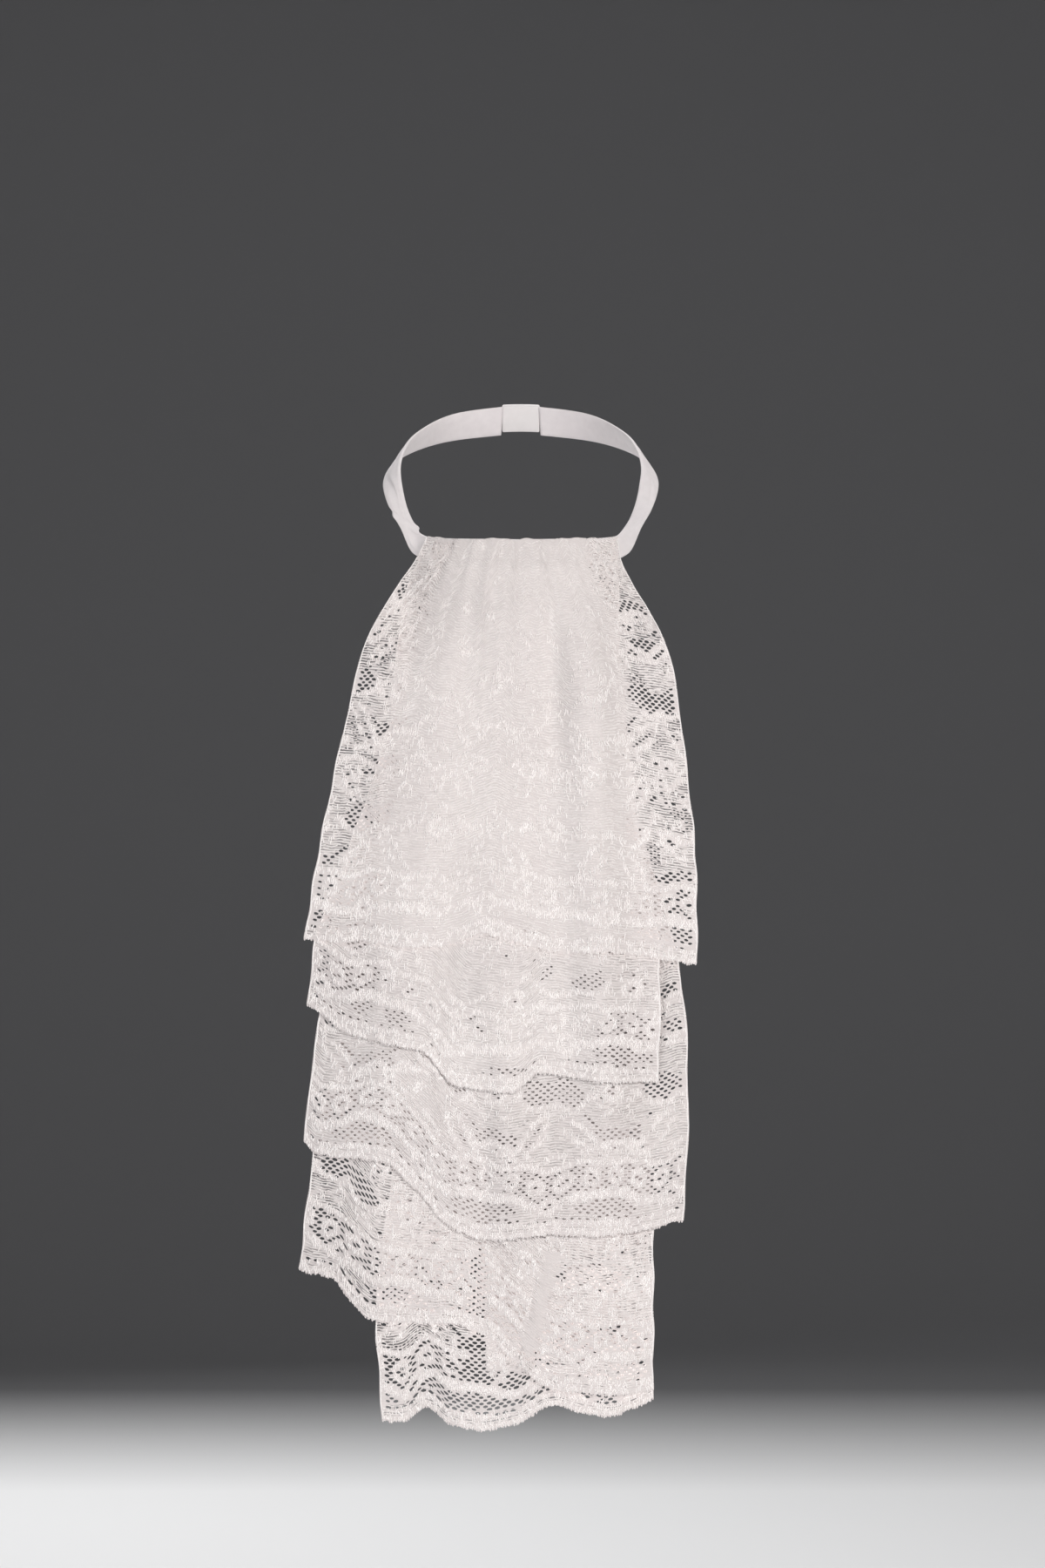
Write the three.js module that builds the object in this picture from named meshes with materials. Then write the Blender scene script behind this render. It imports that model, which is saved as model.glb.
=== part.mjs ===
import * as THREE from 'three';

// A lace jabot: five overlapping tiers of gathered lace on a plain cloth neck band, in the form it has when worn.
// Millimetres. Z is up, the face looks along -Y, and the origin is the centre of the neck opening.

// Neck band and its clasp
const NECK_WIDTH = 120;
const NECK_DEPTH = 120;
const BAND_RISE = 74;
const BAND_HEIGHT = 13;
const BAND_SPLAY = 7;
const BAND_WALL = 1.6;
const CLASP_LENGTH = 18;
const CLASP_WALL = 3;

// Lace tiers
const LACE_WIDTH = 186;
const LACE_DROP = 418;
const LACE_WALL = 1.4;
const LACE_TUCK = 1;
const SEAM_GAP = 0.4;
const LAYER_GAP = 2.6;
const LAYER_LEAD = 16;
const LAYER_HOLD = 4;
const LAYER_RELAX = 34;

// The way the cloth hangs over the chest
const CHEST_RADIUS = 220;
const CHEST_FORWARD = 36;
const CHEST_SWELL = 0.85;
const NECK_TO_CHEST = 70;

// Folds, gathers and ruffled hems
const FOLD_HEIGHT = 9;
const FOLD_EASE = 46;
const FOLD_LOSS = 0.13;
const GATHER_HEIGHT = 0.9;
const GATHER_PITCH = 8.4;
const GATHER_DROP = 52;
const GATHER_FAN = 0.6;
const RUFFLE_HEIGHT = 1.3;
const RUFFLE_PITCH = 29;
const RUFFLE_START = 0.72;

// Eyelets above each hem
const EYELET_SHARE = 0.52;

// Backing stay and the folded tape on its edge
const STAY_WIDTH = 56;
const STAY_DROP = 391;
const STAY_WALL = 1.2;
const TAPE_WIDTH = 6;
const TAPE_WALL = 1.1;

// Mesh steps
const BAND_STEP_DEGREES = 4;
const STAY_ROWS = 20;
const STAY_COLUMNS = 4;
const TAPE_ROWS = 10;
const ROW_CROWDING = 0.45;
const EDGE_STEPS = 4;

// Values that follow from the sizes
const HALF_LACE = LACE_WIDTH / 2;
const FRONT_Z = -(BAND_RISE - BAND_HEIGHT) / 2;
const EDGES = {
  upper: { a: NECK_WIDTH / 2, b: NECK_DEPTH / 2, z: FRONT_Z },
  lower: { a: NECK_WIDTH / 2 + BAND_SPLAY, b: NECK_DEPTH / 2 + BAND_SPLAY, z: FRONT_Z - BAND_HEIGHT },
};
const CURVE_REACH = 0.8;

// Climb of the band round the neck: turn in degrees from the front, climbs as shares of BAND_RISE
const BAND_CLIMB = [
  { turn: 0, lower: 0, upper: 0 },
  { turn: 30, lower: 0.015, upper: 0.01 },
  { turn: 50, lower: 0.085, upper: 0.035 },
  { turn: 60, lower: 0.188, upper: 0.115 },
  { turn: 70, lower: 0.35, upper: 0.22 },
  { turn: 82, lower: 0.52, upper: 0.42 },
  { turn: 95, lower: 0.63, upper: 0.56 },
  { turn: 120, lower: 0.81, upper: 0.78 },
  { turn: 150, lower: 0.94, upper: 0.94 },
  { turn: 180, lower: 1, upper: 1 },
];

// Each tier: top and hem are shares of LACE_DROP, sides are shares of half LACE_WIDTH, and
// along and across run from 0 to 1 down a side and from the left side to the right one.
const TIERS = [
  {
    name: 'lace_tier_1', columns: 36, rows: 14, top: 0,
    sides: [
      { along: 0, left: -0.485, right: 0.5 },
      { along: 0.05, left: -0.53, right: 0.512 },
      { along: 0.11, left: -0.61, right: 0.567 },
      { along: 0.18, left: -0.7, right: 0.66 },
      { along: 0.25, left: -0.775, right: 0.73 },
      { along: 0.35, left: -0.84, right: 0.79 },
      { along: 0.5, left: -0.91, right: 0.833 },
      { along: 0.8, left: -1.035, right: 0.892 },
      { along: 1, left: -1.1, right: 0.895 },
    ],
    hem: [
      { across: 0, drop: 0.452 },
      { across: 0.12, drop: 0.457 },
      { across: 0.325, drop: 0.46 },
      { across: 0.454, drop: 0.449 },
      { across: 0.66, drop: 0.466 },
      { across: 0.893, drop: 0.472 },
      { across: 1, drop: 0.481 },
    ],
  },
  {
    name: 'lace_tier_2', columns: 36, rows: 14, top: 0,
    sides: [
      { along: 0, left: -0.485, right: 0.5 },
      { along: 0.15, left: -0.61, right: 0.505 },
      { along: 0.4, left: -0.67, right: 0.55 },
      { along: 0.6, left: -0.82, right: 0.62 },
      { along: 0.75, left: -0.95, right: 0.7 },
      { along: 0.86, left: -1.045, right: 0.705 },
      { along: 1, left: -1.085, right: 0.697 },
    ],
    hem: [
      { across: 0, drop: 0.528 },
      { across: 0.124, drop: 0.558 },
      { across: 0.327, drop: 0.577 },
      { across: 0.427, drop: 0.616 },
      { across: 0.588, drop: 0.621 },
      { across: 0.662, drop: 0.601 },
      { across: 0.774, drop: 0.609 },
      { across: 1, drop: 0.611 },
    ],
  },
  {
    name: 'lace_tier_3', columns: 30, rows: 11, top: 0.25,
    sides: [
      { along: 0, left: -0.5, right: 0.45 },
      { along: 0.25, left: -0.75, right: 0.68 },
      { along: 0.5, left: -0.96, right: 0.82 },
      { along: 0.65, left: -1.014, right: 0.846 },
      { along: 0.8, left: -1.06, right: 0.846 },
      { along: 1, left: -1.1, right: 0.82 },
    ],
    hem: [
      { across: 0, drop: 0.683 },
      { across: 0.03, drop: 0.694 },
      { across: 0.21, drop: 0.7 },
      { across: 0.3, drop: 0.734 },
      { across: 0.39, drop: 0.773 },
      { across: 0.485, drop: 0.786 },
      { across: 0.67, drop: 0.783 },
      { across: 0.81, drop: 0.781 },
      { across: 1, drop: 0.77 },
    ],
  },
  {
    name: 'lace_tier_4', columns: 30, rows: 11, top: 0.375,
    sides: [
      { along: 0, left: -0.45, right: 0.42 },
      { along: 0.25, left: -0.78, right: 0.58 },
      { along: 0.5, left: -0.96, right: 0.64 },
      { along: 0.7, left: -1.05, right: 0.67 },
      { along: 0.85, left: -1.09, right: 0.67 },
      { along: 1, left: -1.125, right: 0.667 },
    ],
    hem: [
      { across: 0, drop: 0.825 },
      { across: 0.1, drop: 0.836 },
      { across: 0.14, drop: 0.856 },
      { across: 0.214, drop: 0.878 },
      { across: 0.412, drop: 0.882 },
      { across: 0.534, drop: 0.895 },
      { across: 0.61, drop: 0.922 },
      { across: 0.73, drop: 0.955 },
      { across: 0.88, drop: 0.961 },
      { across: 1, drop: 0.955 },
    ],
  },
  {
    name: 'lace_tier_5', columns: 36, rows: 9, top: 0.51,
    sides: [
      { along: 0, left: -0.42, right: 0.4 },
      { along: 0.35, left: -0.62, right: 0.55 },
      { along: 0.6, left: -0.7, right: 0.64 },
      { along: 0.77, left: -0.732, right: 0.668 },
      { along: 0.9, left: -0.714, right: 0.668 },
      { along: 1, left: -0.7, right: 0.666 },
    ],
    hem: [
      { across: 0, drop: 0.99 },
      { across: 0.08, drop: 0.991 },
      { across: 0.164, drop: 0.974 },
      { across: 0.26, drop: 0.993 },
      { across: 0.356, drop: 0.999 },
      { across: 0.507, drop: 0.991 },
      { across: 0.626, drop: 0.971 },
      { across: 0.74, drop: 0.98 },
      { across: 0.839, drop: 0.984 },
      { across: 0.95, drop: 0.973 },
      { across: 1, drop: 0.966 },
    ],
  },
];

// Soft ridges that all tiers share: across is a share of half LACE_WIDTH from the centre line at the
// ridge's upper and lower end, wide a share of half LACE_WIDTH, high a share of FOLD_HEIGHT,
// from and to are shares of LACE_DROP
const FOLDS = [
  { upper: -0.4, lower: -0.62, wide: 0.2, high: 0.62, from: 0.1, to: 0.62 },
  { upper: -0.06, lower: -0.12, wide: 0.16, high: 0.3, from: 0.06, to: 0.5 },
  { upper: 0.32, lower: 0.46, wide: 0.14, high: 0.95, from: 0.1, to: 0.66 },
  { upper: -0.5, lower: -0.78, wide: 0.26, high: 0.6, from: 0.55, to: 0.9 },
  { upper: -0.14, lower: -0.02, wide: 0.1, high: 0.5, from: 0.5, to: 0.8 },
  { upper: 0.44, lower: 0.36, wide: 0.2, high: 0.6, from: 0.6, to: 1.02 },
  { upper: -0.3, lower: -0.36, wide: 0.16, high: 0.5, from: 0.82, to: 1.04 },
];

// Outline of the stay: drop is a share of STAY_DROP, sides are shares of half STAY_WIDTH
const STAY_SIDES = [
  { drop: 0, left: -1, right: 1 },
  { drop: 0.5, left: -0.9, right: 1 },
  { drop: 0.7, left: -0.66, right: 0.95 },
  { drop: 0.855, left: -0.58, right: 0.64 },
  { drop: 1, left: -0.58, right: 0.12 },
];
const TAPE_FROM = 0.74;

const smooth = (value) => {
  const share = Math.min(1, Math.max(0, value));
  return share * share * (3 - 2 * share);
};

const mix = THREE.MathUtils.lerp;

// Slope of a table's column at a row, set to zero at a high or low so that the curve never overshoots
function slopeAt(table, key, column, row) {
  const before = table[Math.max(0, row - 1)];
  const here = table[row];
  const after = table[Math.min(table.length - 1, row + 1)];
  if (before === here) return (after[column] - here[column]) / (after[key] - here[key]);
  if (after === here) return (here[column] - before[column]) / (here[key] - before[key]);
  const rise = (here[column] - before[column]) / (here[key] - before[key]);
  const next = (after[column] - here[column]) / (after[key] - here[key]);
  return rise * next <= 0 ? 0 : (2 * rise * next) / (rise + next);
}

// Smooth curve through a table's column
function curveAt(table, key, column, value) {
  const last = table.length - 1;
  if (value <= table[0][key]) return table[0][column];
  if (value >= table[last][key]) return table[last][column];
  const row = table.findIndex((entry) => entry[key] > value) - 1;
  const start = table[row];
  const end = table[row + 1];
  const span = end[key] - start[key];
  const u = (value - start[key]) / span;
  const startSlope = slopeAt(table, key, column, row) * span;
  const endSlope = slopeAt(table, key, column, row + 1) * span;
  const u2 = u * u;
  const u3 = u2 * u;
  return (2 * u3 - 3 * u2 + 1) * start[column] + (u3 - 2 * u2 + u) * startSlope
    + (3 * u2 - 2 * u3) * end[column] + (u3 - u2) * endSlope;
}

// Front of the band at a place x, share of the way from its upper edge (0) to its lower edge (1),
// carried on as a straight line past the curved front
function bandFront(x, share) {
  const a = mix(EDGES.upper.a, EDGES.lower.a, share);
  const b = mix(EDGES.upper.b, EDGES.lower.b, share);
  const inside = Math.min(Math.abs(x), CURVE_REACH * a);
  const root = Math.sqrt(1 - (inside / a) ** 2);
  const slope = (b * inside) / (a * a * root);
  const turn = THREE.MathUtils.radToDeg(Math.asin(Math.min(1, Math.abs(x) / a)));
  const upperZ = EDGES.upper.z + BAND_RISE * curveAt(BAND_CLIMB, 'turn', 'upper', turn);
  const lowerZ = EDGES.lower.z + BAND_RISE * curveAt(BAND_CLIMB, 'turn', 'lower', turn);
  return { y: -b * root + slope * (Math.abs(x) - inside), z: mix(upperZ, lowerZ, share) };
}

// The surface that the lace lies on: the band's outer face, and the front of the stay below it
function seatDepth(x, z) {
  const lower = bandFront(x, 1);
  if (z >= lower.z) {
    let share = 1;
    for (let step = 0; step < EDGE_STEPS; step += 1) {
      share += (bandFront(x, share).z - z) / BAND_HEIGHT;
    }
    return bandFront(x, share).y;
  }
  const under = lower.z - z;
  const chest = -EDGES.lower.b + (x * x) / (2 * CHEST_RADIUS);
  const hang = mix(lower.y, chest, smooth(under / NECK_TO_CHEST));
  return hang - CHEST_FORWARD * (under / LACE_DROP) ** CHEST_SWELL;
}

const tierTop = (tier) => FRONT_Z - tier.top * LACE_DROP;

// Distance from the seat to the middle of a tier's wall, with room for every tier that lies behind it
function standOff(tierIndex, z) {
  let distance = -LACE_WALL / 2;
  for (let behind = tierIndex; behind < TIERS.length; behind += 1) {
    const below = tierTop(TIERS[behind]) - z;
    const gap = mix(SEAM_GAP, LAYER_GAP, smooth((below - LAYER_HOLD) / LAYER_RELAX));
    const present = behind === tierIndex ? 1 : smooth((below + LAYER_LEAD) / LAYER_LEAD);
    distance += (gap + LACE_WALL) * present;
  }
  return distance;
}

// Height of the soft folds that stand forward of the seat
function foldHeight(x, z) {
  const drop = (FRONT_Z - z) / LACE_DROP;
  const ease = FOLD_EASE / LACE_DROP;
  let height = 0;
  for (const fold of FOLDS) {
    const along = (drop - fold.from) / (fold.to - fold.from);
    const centre = mix(fold.upper, fold.lower, Math.min(1, Math.max(0, along))) * HALF_LACE;
    const fade = smooth((drop - fold.from) / ease + 0.5) * smooth((fold.to - drop) / ease + 0.5);
    height += fold.high * fade * Math.exp(-(((x - centre) / (fold.wide * HALF_LACE)) ** 2));
  }
  return FOLD_HEIGHT * height;
}

// Where a tier's seam lies: along the band's upper edge, or level across the stay
function seamHeight(tier, s) {
  if (tier.top > 0) return tierTop(tier);
  return bandFront(seamPlace(tier, s), 0).z - LACE_TUCK;
}

const seamPlace = (tier, s) => HALF_LACE * mix(tier.sides[0].left, tier.sides[0].right, s);

const hemHeight = (tier, s) => FRONT_Z - LACE_DROP * curveAt(tier.hem, 'across', 'drop', s);

// Place across at a share s from the left side to the right one and a share t of the way down
const acrossAt = (tier, s, t) => (
  HALF_LACE * mix(curveAt(tier.sides, 'along', 'left', t), curveAt(tier.sides, 'along', 'right', t), s)
);

// How far down a tier a row of its mesh lies: rows crowd towards seam and hem, and the first row of a tier
// that hangs from the band follows the band's lower edge
function rowShare(tier, s, row) {
  const down = (share) => share - (ROW_CROWDING * Math.sin(2 * Math.PI * share)) / (2 * Math.PI);
  if (tier.top > 0 || row === 0) return down(row / tier.rows);
  const seamZ = seamHeight(tier, s);
  let edgeShare = 0;
  for (let step = 0; step < EDGE_STEPS; step += 1) {
    const edgeZ = bandFront(acrossAt(tier, s, edgeShare), 1).z;
    edgeShare = (seamZ - edgeZ) / (seamZ - hemHeight(tier, s));
  }
  return mix(edgeShare, 1, down((row - 1) / (tier.rows - 1)));
}

// Small pleats below the seam, which fan out as the lace spreads
function gatherHeight(x, below) {
  const fanned = x / (1 + GATHER_FAN * (Math.max(0, below) / GATHER_DROP));
  const wave = 0.5 - 0.5 * Math.cos((2 * Math.PI * fanned) / GATHER_PITCH);
  return GATHER_HEIGHT * wave * (1 - smooth(below / GATHER_DROP));
}

// A point in the middle of a tier's wall: s runs across from left to right and t down from seam to hem
function lacePoint(tierIndex, s, t) {
  const tier = TIERS[tierIndex];
  const x = acrossAt(tier, s, t);
  const seamZ = seamHeight(tier, s);
  const z = mix(seamZ, hemHeight(tier, s), t);
  const below = seamZ - z;
  const depth = 1 - FOLD_LOSS * tierIndex;
  const fold = depth * foldHeight(x, z) * smooth((below - LAYER_HOLD) / FOLD_EASE);
  const ruffle = RUFFLE_HEIGHT * smooth((t - RUFFLE_START) / (1 - RUFFLE_START))
    * (0.5 - 0.5 * Math.cos((2 * Math.PI * (x + HALF_LACE)) / RUFFLE_PITCH + tierIndex));
  const forward = standOff(tierIndex, z) + fold + ruffle + gatherHeight(x, below);
  return new THREE.Vector3(x, seatDepth(x, z) - forward, z);
}

// A closed cloth wall over a grid of middle points, with a framed hole in each cell that isHole picks
function clothWall({ columns, rows, wall, pointAt, isHole = () => false, holeShare = EYELET_SHARE }) {
  const triangles = [];
  const face = (a, b, c, d) => triangles.push(a, b, c, a, c, d);
  const middle = [];
  for (let row = 0; row <= rows; row += 1) {
    middle.push(Array.from({ length: columns + 1 }, (_, column) => pointAt(column / columns, row)));
  }
  const front = (point) => new THREE.Vector3(point.x, point.y - wall / 2, point.z);
  const back = (point) => new THREE.Vector3(point.x, point.y + wall / 2, point.z);
  const edge = (p, q) => face(front(p), front(q), back(q), back(p));
  const holed = (corners) => {
    const centre = corners.reduce((sum, corner) => sum.add(corner), new THREE.Vector3()).divideScalar(4);
    const inner = corners.map((corner) => corner.clone().lerp(centre, 1 - holeShare));
    corners.forEach((corner, side) => {
      const next = (side + 1) % 4;
      face(front(corner), front(corners[next]), front(inner[next]), front(inner[side]));
      face(back(corners[next]), back(corner), back(inner[side]), back(inner[next]));
      face(front(inner[side]), front(inner[next]), back(inner[next]), back(inner[side]));
    });
  };
  for (let row = 0; row < rows; row += 1) {
    for (let column = 0; column < columns; column += 1) {
      const a = middle[row + 1][column];
      const b = middle[row + 1][column + 1];
      const c = middle[row][column + 1];
      const d = middle[row][column];
      if (isHole(column, row)) {
        holed([a, b, c, d]);
      } else {
        face(front(a), front(b), front(c), front(d));
        face(back(b), back(a), back(d), back(c));
      }
    }
    edge(middle[row + 1][0], middle[row][0]);
    edge(middle[row][columns], middle[row + 1][columns]);
  }
  for (let column = 0; column < columns; column += 1) {
    edge(middle[0][column], middle[0][column + 1]);
    edge(middle[rows][column + 1], middle[rows][column]);
  }
  return new THREE.BufferGeometry().setFromPoints(triangles);
}

// Corners of the band's section at a turn round the neck, from the outer lower corner
function bandSection(turn, wall, proud) {
  const angle = THREE.MathUtils.degToRad(turn);
  const corner = (edgeName, offset) => {
    const { a, b, z } = EDGES[edgeName];
    return new THREE.Vector3(
      (a + offset) * Math.sin(angle),
      -(b + offset) * Math.cos(angle),
      z + BAND_RISE * curveAt(BAND_CLIMB, 'turn', edgeName, Math.abs(turn)),
    );
  };
  return [corner('lower', proud), corner('upper', proud), corner('upper', proud - wall), corner('lower', proud - wall)];
}

// A closed strip round the neck between two turns, given in degrees from the front
function loopPiece({ from, to, wall, proud = 0 }) {
  const steps = Math.ceil((to - from) / BAND_STEP_DEGREES);
  const wrap = (turn) => (turn > 180 ? turn - 360 : turn);
  const sections = Array.from({ length: steps + 1 }, (_, step) => (
    bandSection(wrap(mix(from, to, step / steps)), wall, proud)));
  const triangles = [];
  const face = (a, b, c, d) => triangles.push(a, b, c, a, c, d);
  for (let step = 0; step < steps; step += 1) {
    for (let side = 0; side < 4; side += 1) {
      const next = (side + 1) % 4;
      const [here, there] = [sections[step], sections[step + 1]];
      face(here[side], there[side], there[next], here[next]);
    }
  }
  face(...[0, 1, 2, 3].map((corner) => sections[0][corner]));
  face(...[3, 2, 1, 0].map((corner) => sections[steps][corner]));
  return new THREE.BufferGeometry().setFromPoints(triangles);
}

const degreesAlong = (length) => THREE.MathUtils.radToDeg(length / EDGES.upper.b);

// Down the stay from the band's lower edge
function stayPoint(s, t) {
  const half = STAY_WIDTH / 2;
  const x = half * mix(curveAt(STAY_SIDES, 'drop', 'left', t), curveAt(STAY_SIDES, 'drop', 'right', t), s);
  const z = mix(bandFront(x, 1).z - SEAM_GAP, FRONT_Z - STAY_DROP, t);
  return new THREE.Vector3(x, seatDepth(x, z) + STAY_WALL / 2, z);
}

// Down the folded tape on the stay's right edge
function tapePoint(s, t) {
  const along = mix(TAPE_FROM, 1, t);
  const edge = (STAY_WIDTH / 2) * curveAt(STAY_SIDES, 'drop', 'right', along);
  const z = mix(EDGES.lower.z, FRONT_Z - STAY_DROP, along);
  const x = edge - TAPE_WIDTH * (1 - s);
  return new THREE.Vector3(x, seatDepth(x, z) - SEAM_GAP - TAPE_WALL / 2, z);
}

const cloth = (color, roughness) => new THREE.MeshStandardMaterial({ color, roughness, metalness: 0 });

function namedMesh(name, geometry, material) {
  const mesh = new THREE.Mesh(geometry, material);
  mesh.name = name;
  return mesh;
}

// Neck band, open behind the neck where the clasp closes it
function makeBand() {
  const opening = degreesAlong(CLASP_LENGTH / 2);
  const geometry = loopPiece({ from: opening - 180, to: 180 - opening, wall: BAND_WALL });
  return namedMesh('neck_band', geometry, cloth(0xe9e2e2, 0.85));
}

function makeClasp() {
  const reach = degreesAlong(CLASP_LENGTH / 2 - SEAM_GAP);
  const proud = (CLASP_WALL - BAND_WALL) / 2;
  const geometry = loopPiece({ from: 180 - reach, to: 180 + reach, wall: CLASP_WALL, proud });
  return namedMesh('back_clasp', geometry, cloth(0xdcd6d4, 0.5));
}

function makeTier(tierIndex) {
  const { name, columns, rows } = TIERS[tierIndex];
  const geometry = clothWall({
    columns,
    rows,
    wall: LACE_WALL,
    pointAt: (s, row) => lacePoint(tierIndex, s, rowShare(TIERS[tierIndex], s, row)),
    isHole: (column, row) => row === rows - 2 && column % 2 === 1,
  });
  return namedMesh(name, geometry, cloth(0xf3eeee, 0.8));
}

function makeStay() {
  const geometry = clothWall({ columns: STAY_COLUMNS, rows: STAY_ROWS, wall: STAY_WALL, pointAt: (s, row) => stayPoint(s, row / STAY_ROWS) });
  return namedMesh('backing_stay', geometry, cloth(0xeee8e7, 0.85));
}

function makeTape() {
  const geometry = clothWall({ columns: 1, rows: TAPE_ROWS, wall: TAPE_WALL, pointAt: (s, row) => tapePoint(s, row / TAPE_ROWS) });
  return namedMesh('stay_tape', geometry, cloth(0xf6f2f1, 0.8));
}

const jabot = new THREE.Group();
jabot.add(makeBand(), makeClasp(), makeStay(), makeTape());
TIERS.forEach((tier, tierIndex) => jabot.add(makeTier(tierIndex)));

export default jabot;
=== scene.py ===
"""A lace jabot on a plain cloth neck band: five tiers of pierced floral lace, backing and back closure.

Metres, Z up, the face looks along -Y. Lace is drafted flat in millimetres, with u along the hem and w up
from it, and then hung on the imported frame.
"""

from __future__ import annotations

import logging
import math
from collections.abc import Callable
from dataclasses import dataclass, field
from enum import Enum

import bpy
import numpy as np
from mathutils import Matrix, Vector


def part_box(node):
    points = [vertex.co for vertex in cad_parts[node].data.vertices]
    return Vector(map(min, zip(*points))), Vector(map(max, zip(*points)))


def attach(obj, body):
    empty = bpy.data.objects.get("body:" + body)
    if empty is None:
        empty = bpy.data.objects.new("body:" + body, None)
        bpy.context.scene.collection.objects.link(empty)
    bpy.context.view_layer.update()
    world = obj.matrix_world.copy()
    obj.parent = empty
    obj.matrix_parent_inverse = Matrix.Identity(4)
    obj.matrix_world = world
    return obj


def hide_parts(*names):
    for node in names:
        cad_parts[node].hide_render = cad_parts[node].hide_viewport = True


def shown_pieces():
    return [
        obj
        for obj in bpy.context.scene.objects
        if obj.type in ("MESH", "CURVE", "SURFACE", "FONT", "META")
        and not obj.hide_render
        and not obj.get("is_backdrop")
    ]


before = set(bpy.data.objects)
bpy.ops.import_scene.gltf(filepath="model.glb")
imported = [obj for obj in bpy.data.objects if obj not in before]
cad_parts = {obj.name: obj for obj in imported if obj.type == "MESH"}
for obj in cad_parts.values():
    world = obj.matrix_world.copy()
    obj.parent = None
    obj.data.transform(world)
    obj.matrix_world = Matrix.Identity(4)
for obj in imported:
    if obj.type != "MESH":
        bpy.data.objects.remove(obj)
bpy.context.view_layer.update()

log = logging.getLogger("jabot")
MM = 0.001
BODY = "root"


def smooth(value: np.ndarray) -> np.ndarray:
    """Eased step from 0 to 1 as value goes from 0 to 1."""
    share = np.clip(value, 0.0, 1.0)
    return share * share * (3.0 - 2.0 * share)


def blend(first: np.ndarray, second: np.ndarray, share: np.ndarray) -> np.ndarray:
    """Straight mix of two values."""
    return first + (second - first) * share


class Curve:
    """A smooth curve through the rows of a short table, which never overshoots them."""

    def __init__(self, keys: list[float], values: list[float]) -> None:
        """Work out the slope at each row.

        Args:
            keys: The rising column.
            values: The column that the curve follows.
        """
        self.keys = np.array(keys, float)
        self.values = np.array(values, float)
        rises = np.diff(self.values) / np.diff(self.keys)
        product = rises[:-1] * rises[1:]
        total = rises[:-1] + rises[1:]
        safe = np.where(np.abs(total) > 1e-12, total, 1.0)
        inner = np.where(product > 0, 2.0 * product / safe, 0.0)
        self.slopes = np.concatenate([rises[:1], inner, rises[-1:]])

    def at(self, key: np.ndarray) -> np.ndarray:
        """Value of the curve.

        Args:
            key: Places along the rising column.

        Returns:
            The curve's values there, held level past both ends.
        """
        key = np.clip(key, self.keys[0], self.keys[-1])
        row = np.clip(np.searchsorted(self.keys, key, side="right") - 1, 0, len(self.keys) - 2)
        span = self.keys[row + 1] - self.keys[row]
        u = (key - self.keys[row]) / span
        u2, u3 = u * u, u * u * u
        start = (2 * u3 - 3 * u2 + 1) * self.values[row] + (u3 - 2 * u2 + u) * self.slopes[row] * span
        end = (3 * u2 - 2 * u3) * self.values[row + 1] + (u3 - u2) * self.slopes[row + 1] * span
        return start + end


@dataclass(frozen=True)
class Fold:
    """A soft ridge that all tiers share, in shares of half the lace width, the fold height and the drop."""

    upper: float
    lower: float
    wide: float
    high: float
    start: float
    end: float


FOLDS = (
    Fold(-0.4, -0.62, 0.2, 0.62, 0.1, 0.62),
    Fold(-0.06, -0.12, 0.16, 0.3, 0.06, 0.5),
    Fold(0.32, 0.46, 0.14, 0.95, 0.1, 0.66),
    Fold(-0.5, -0.78, 0.26, 0.6, 0.55, 0.9),
    Fold(-0.14, -0.02, 0.1, 0.5, 0.5, 0.8),
    Fold(0.44, 0.36, 0.2, 0.6, 0.6, 1.02),
    Fold(-0.3, -0.36, 0.16, 0.5, 0.82, 1.04),
    Fold(0.16, 0.18, 0.055, -0.26, 0.05, 0.27),
    Fold(-0.24, -0.27, 0.05, -0.14, 0.03, 0.2),
    Fold(0.38, 0.42, 0.07, 0.16, 0.04, 0.3),
    Fold(0.23, 0.25, 0.05, -0.22, 0.44, 0.58),
    Fold(0.12, 0.14, 0.06, -0.2, 0.6, 0.72),
    Fold(-0.17, -0.18, 0.03, -0.16, 0.61, 0.77),
)

BAND_TURNS = [0, 30, 50, 60, 70, 82, 95, 120, 150, 180]
BAND_LOWER = Curve(BAND_TURNS, [0, 0.015, 0.1, 0.28, 0.4, 0.535, 0.635, 0.81, 0.94, 1])
BAND_UPPER = Curve(BAND_TURNS, [0, 0.01, 0.035, 0.12, 0.25, 0.435, 0.565, 0.78, 0.94, 1])


@dataclass(frozen=True)
class TierShape:
    """Outline and lace layout of one tier.

    top and the hem's drops are shares of the lace drop, the sides are shares of half the lace width.
    flat_width is the width of the cut in millimetres and scallop_low the place of one scallop's lowest
    point from its left side. scallop is the depth of the scallops that the outline doesn't hold. open_middle
    and open_side are the shares of their full size that the net's holes keep.
    """

    node: str
    top: float
    along: list[float]
    left: list[float]
    right: list[float]
    across: list[float]
    drops: list[float]
    flat_width: float
    scallop_low: float
    scallop: float
    motif_shift: float
    seed: int
    open_middle: float
    open_side: float


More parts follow.
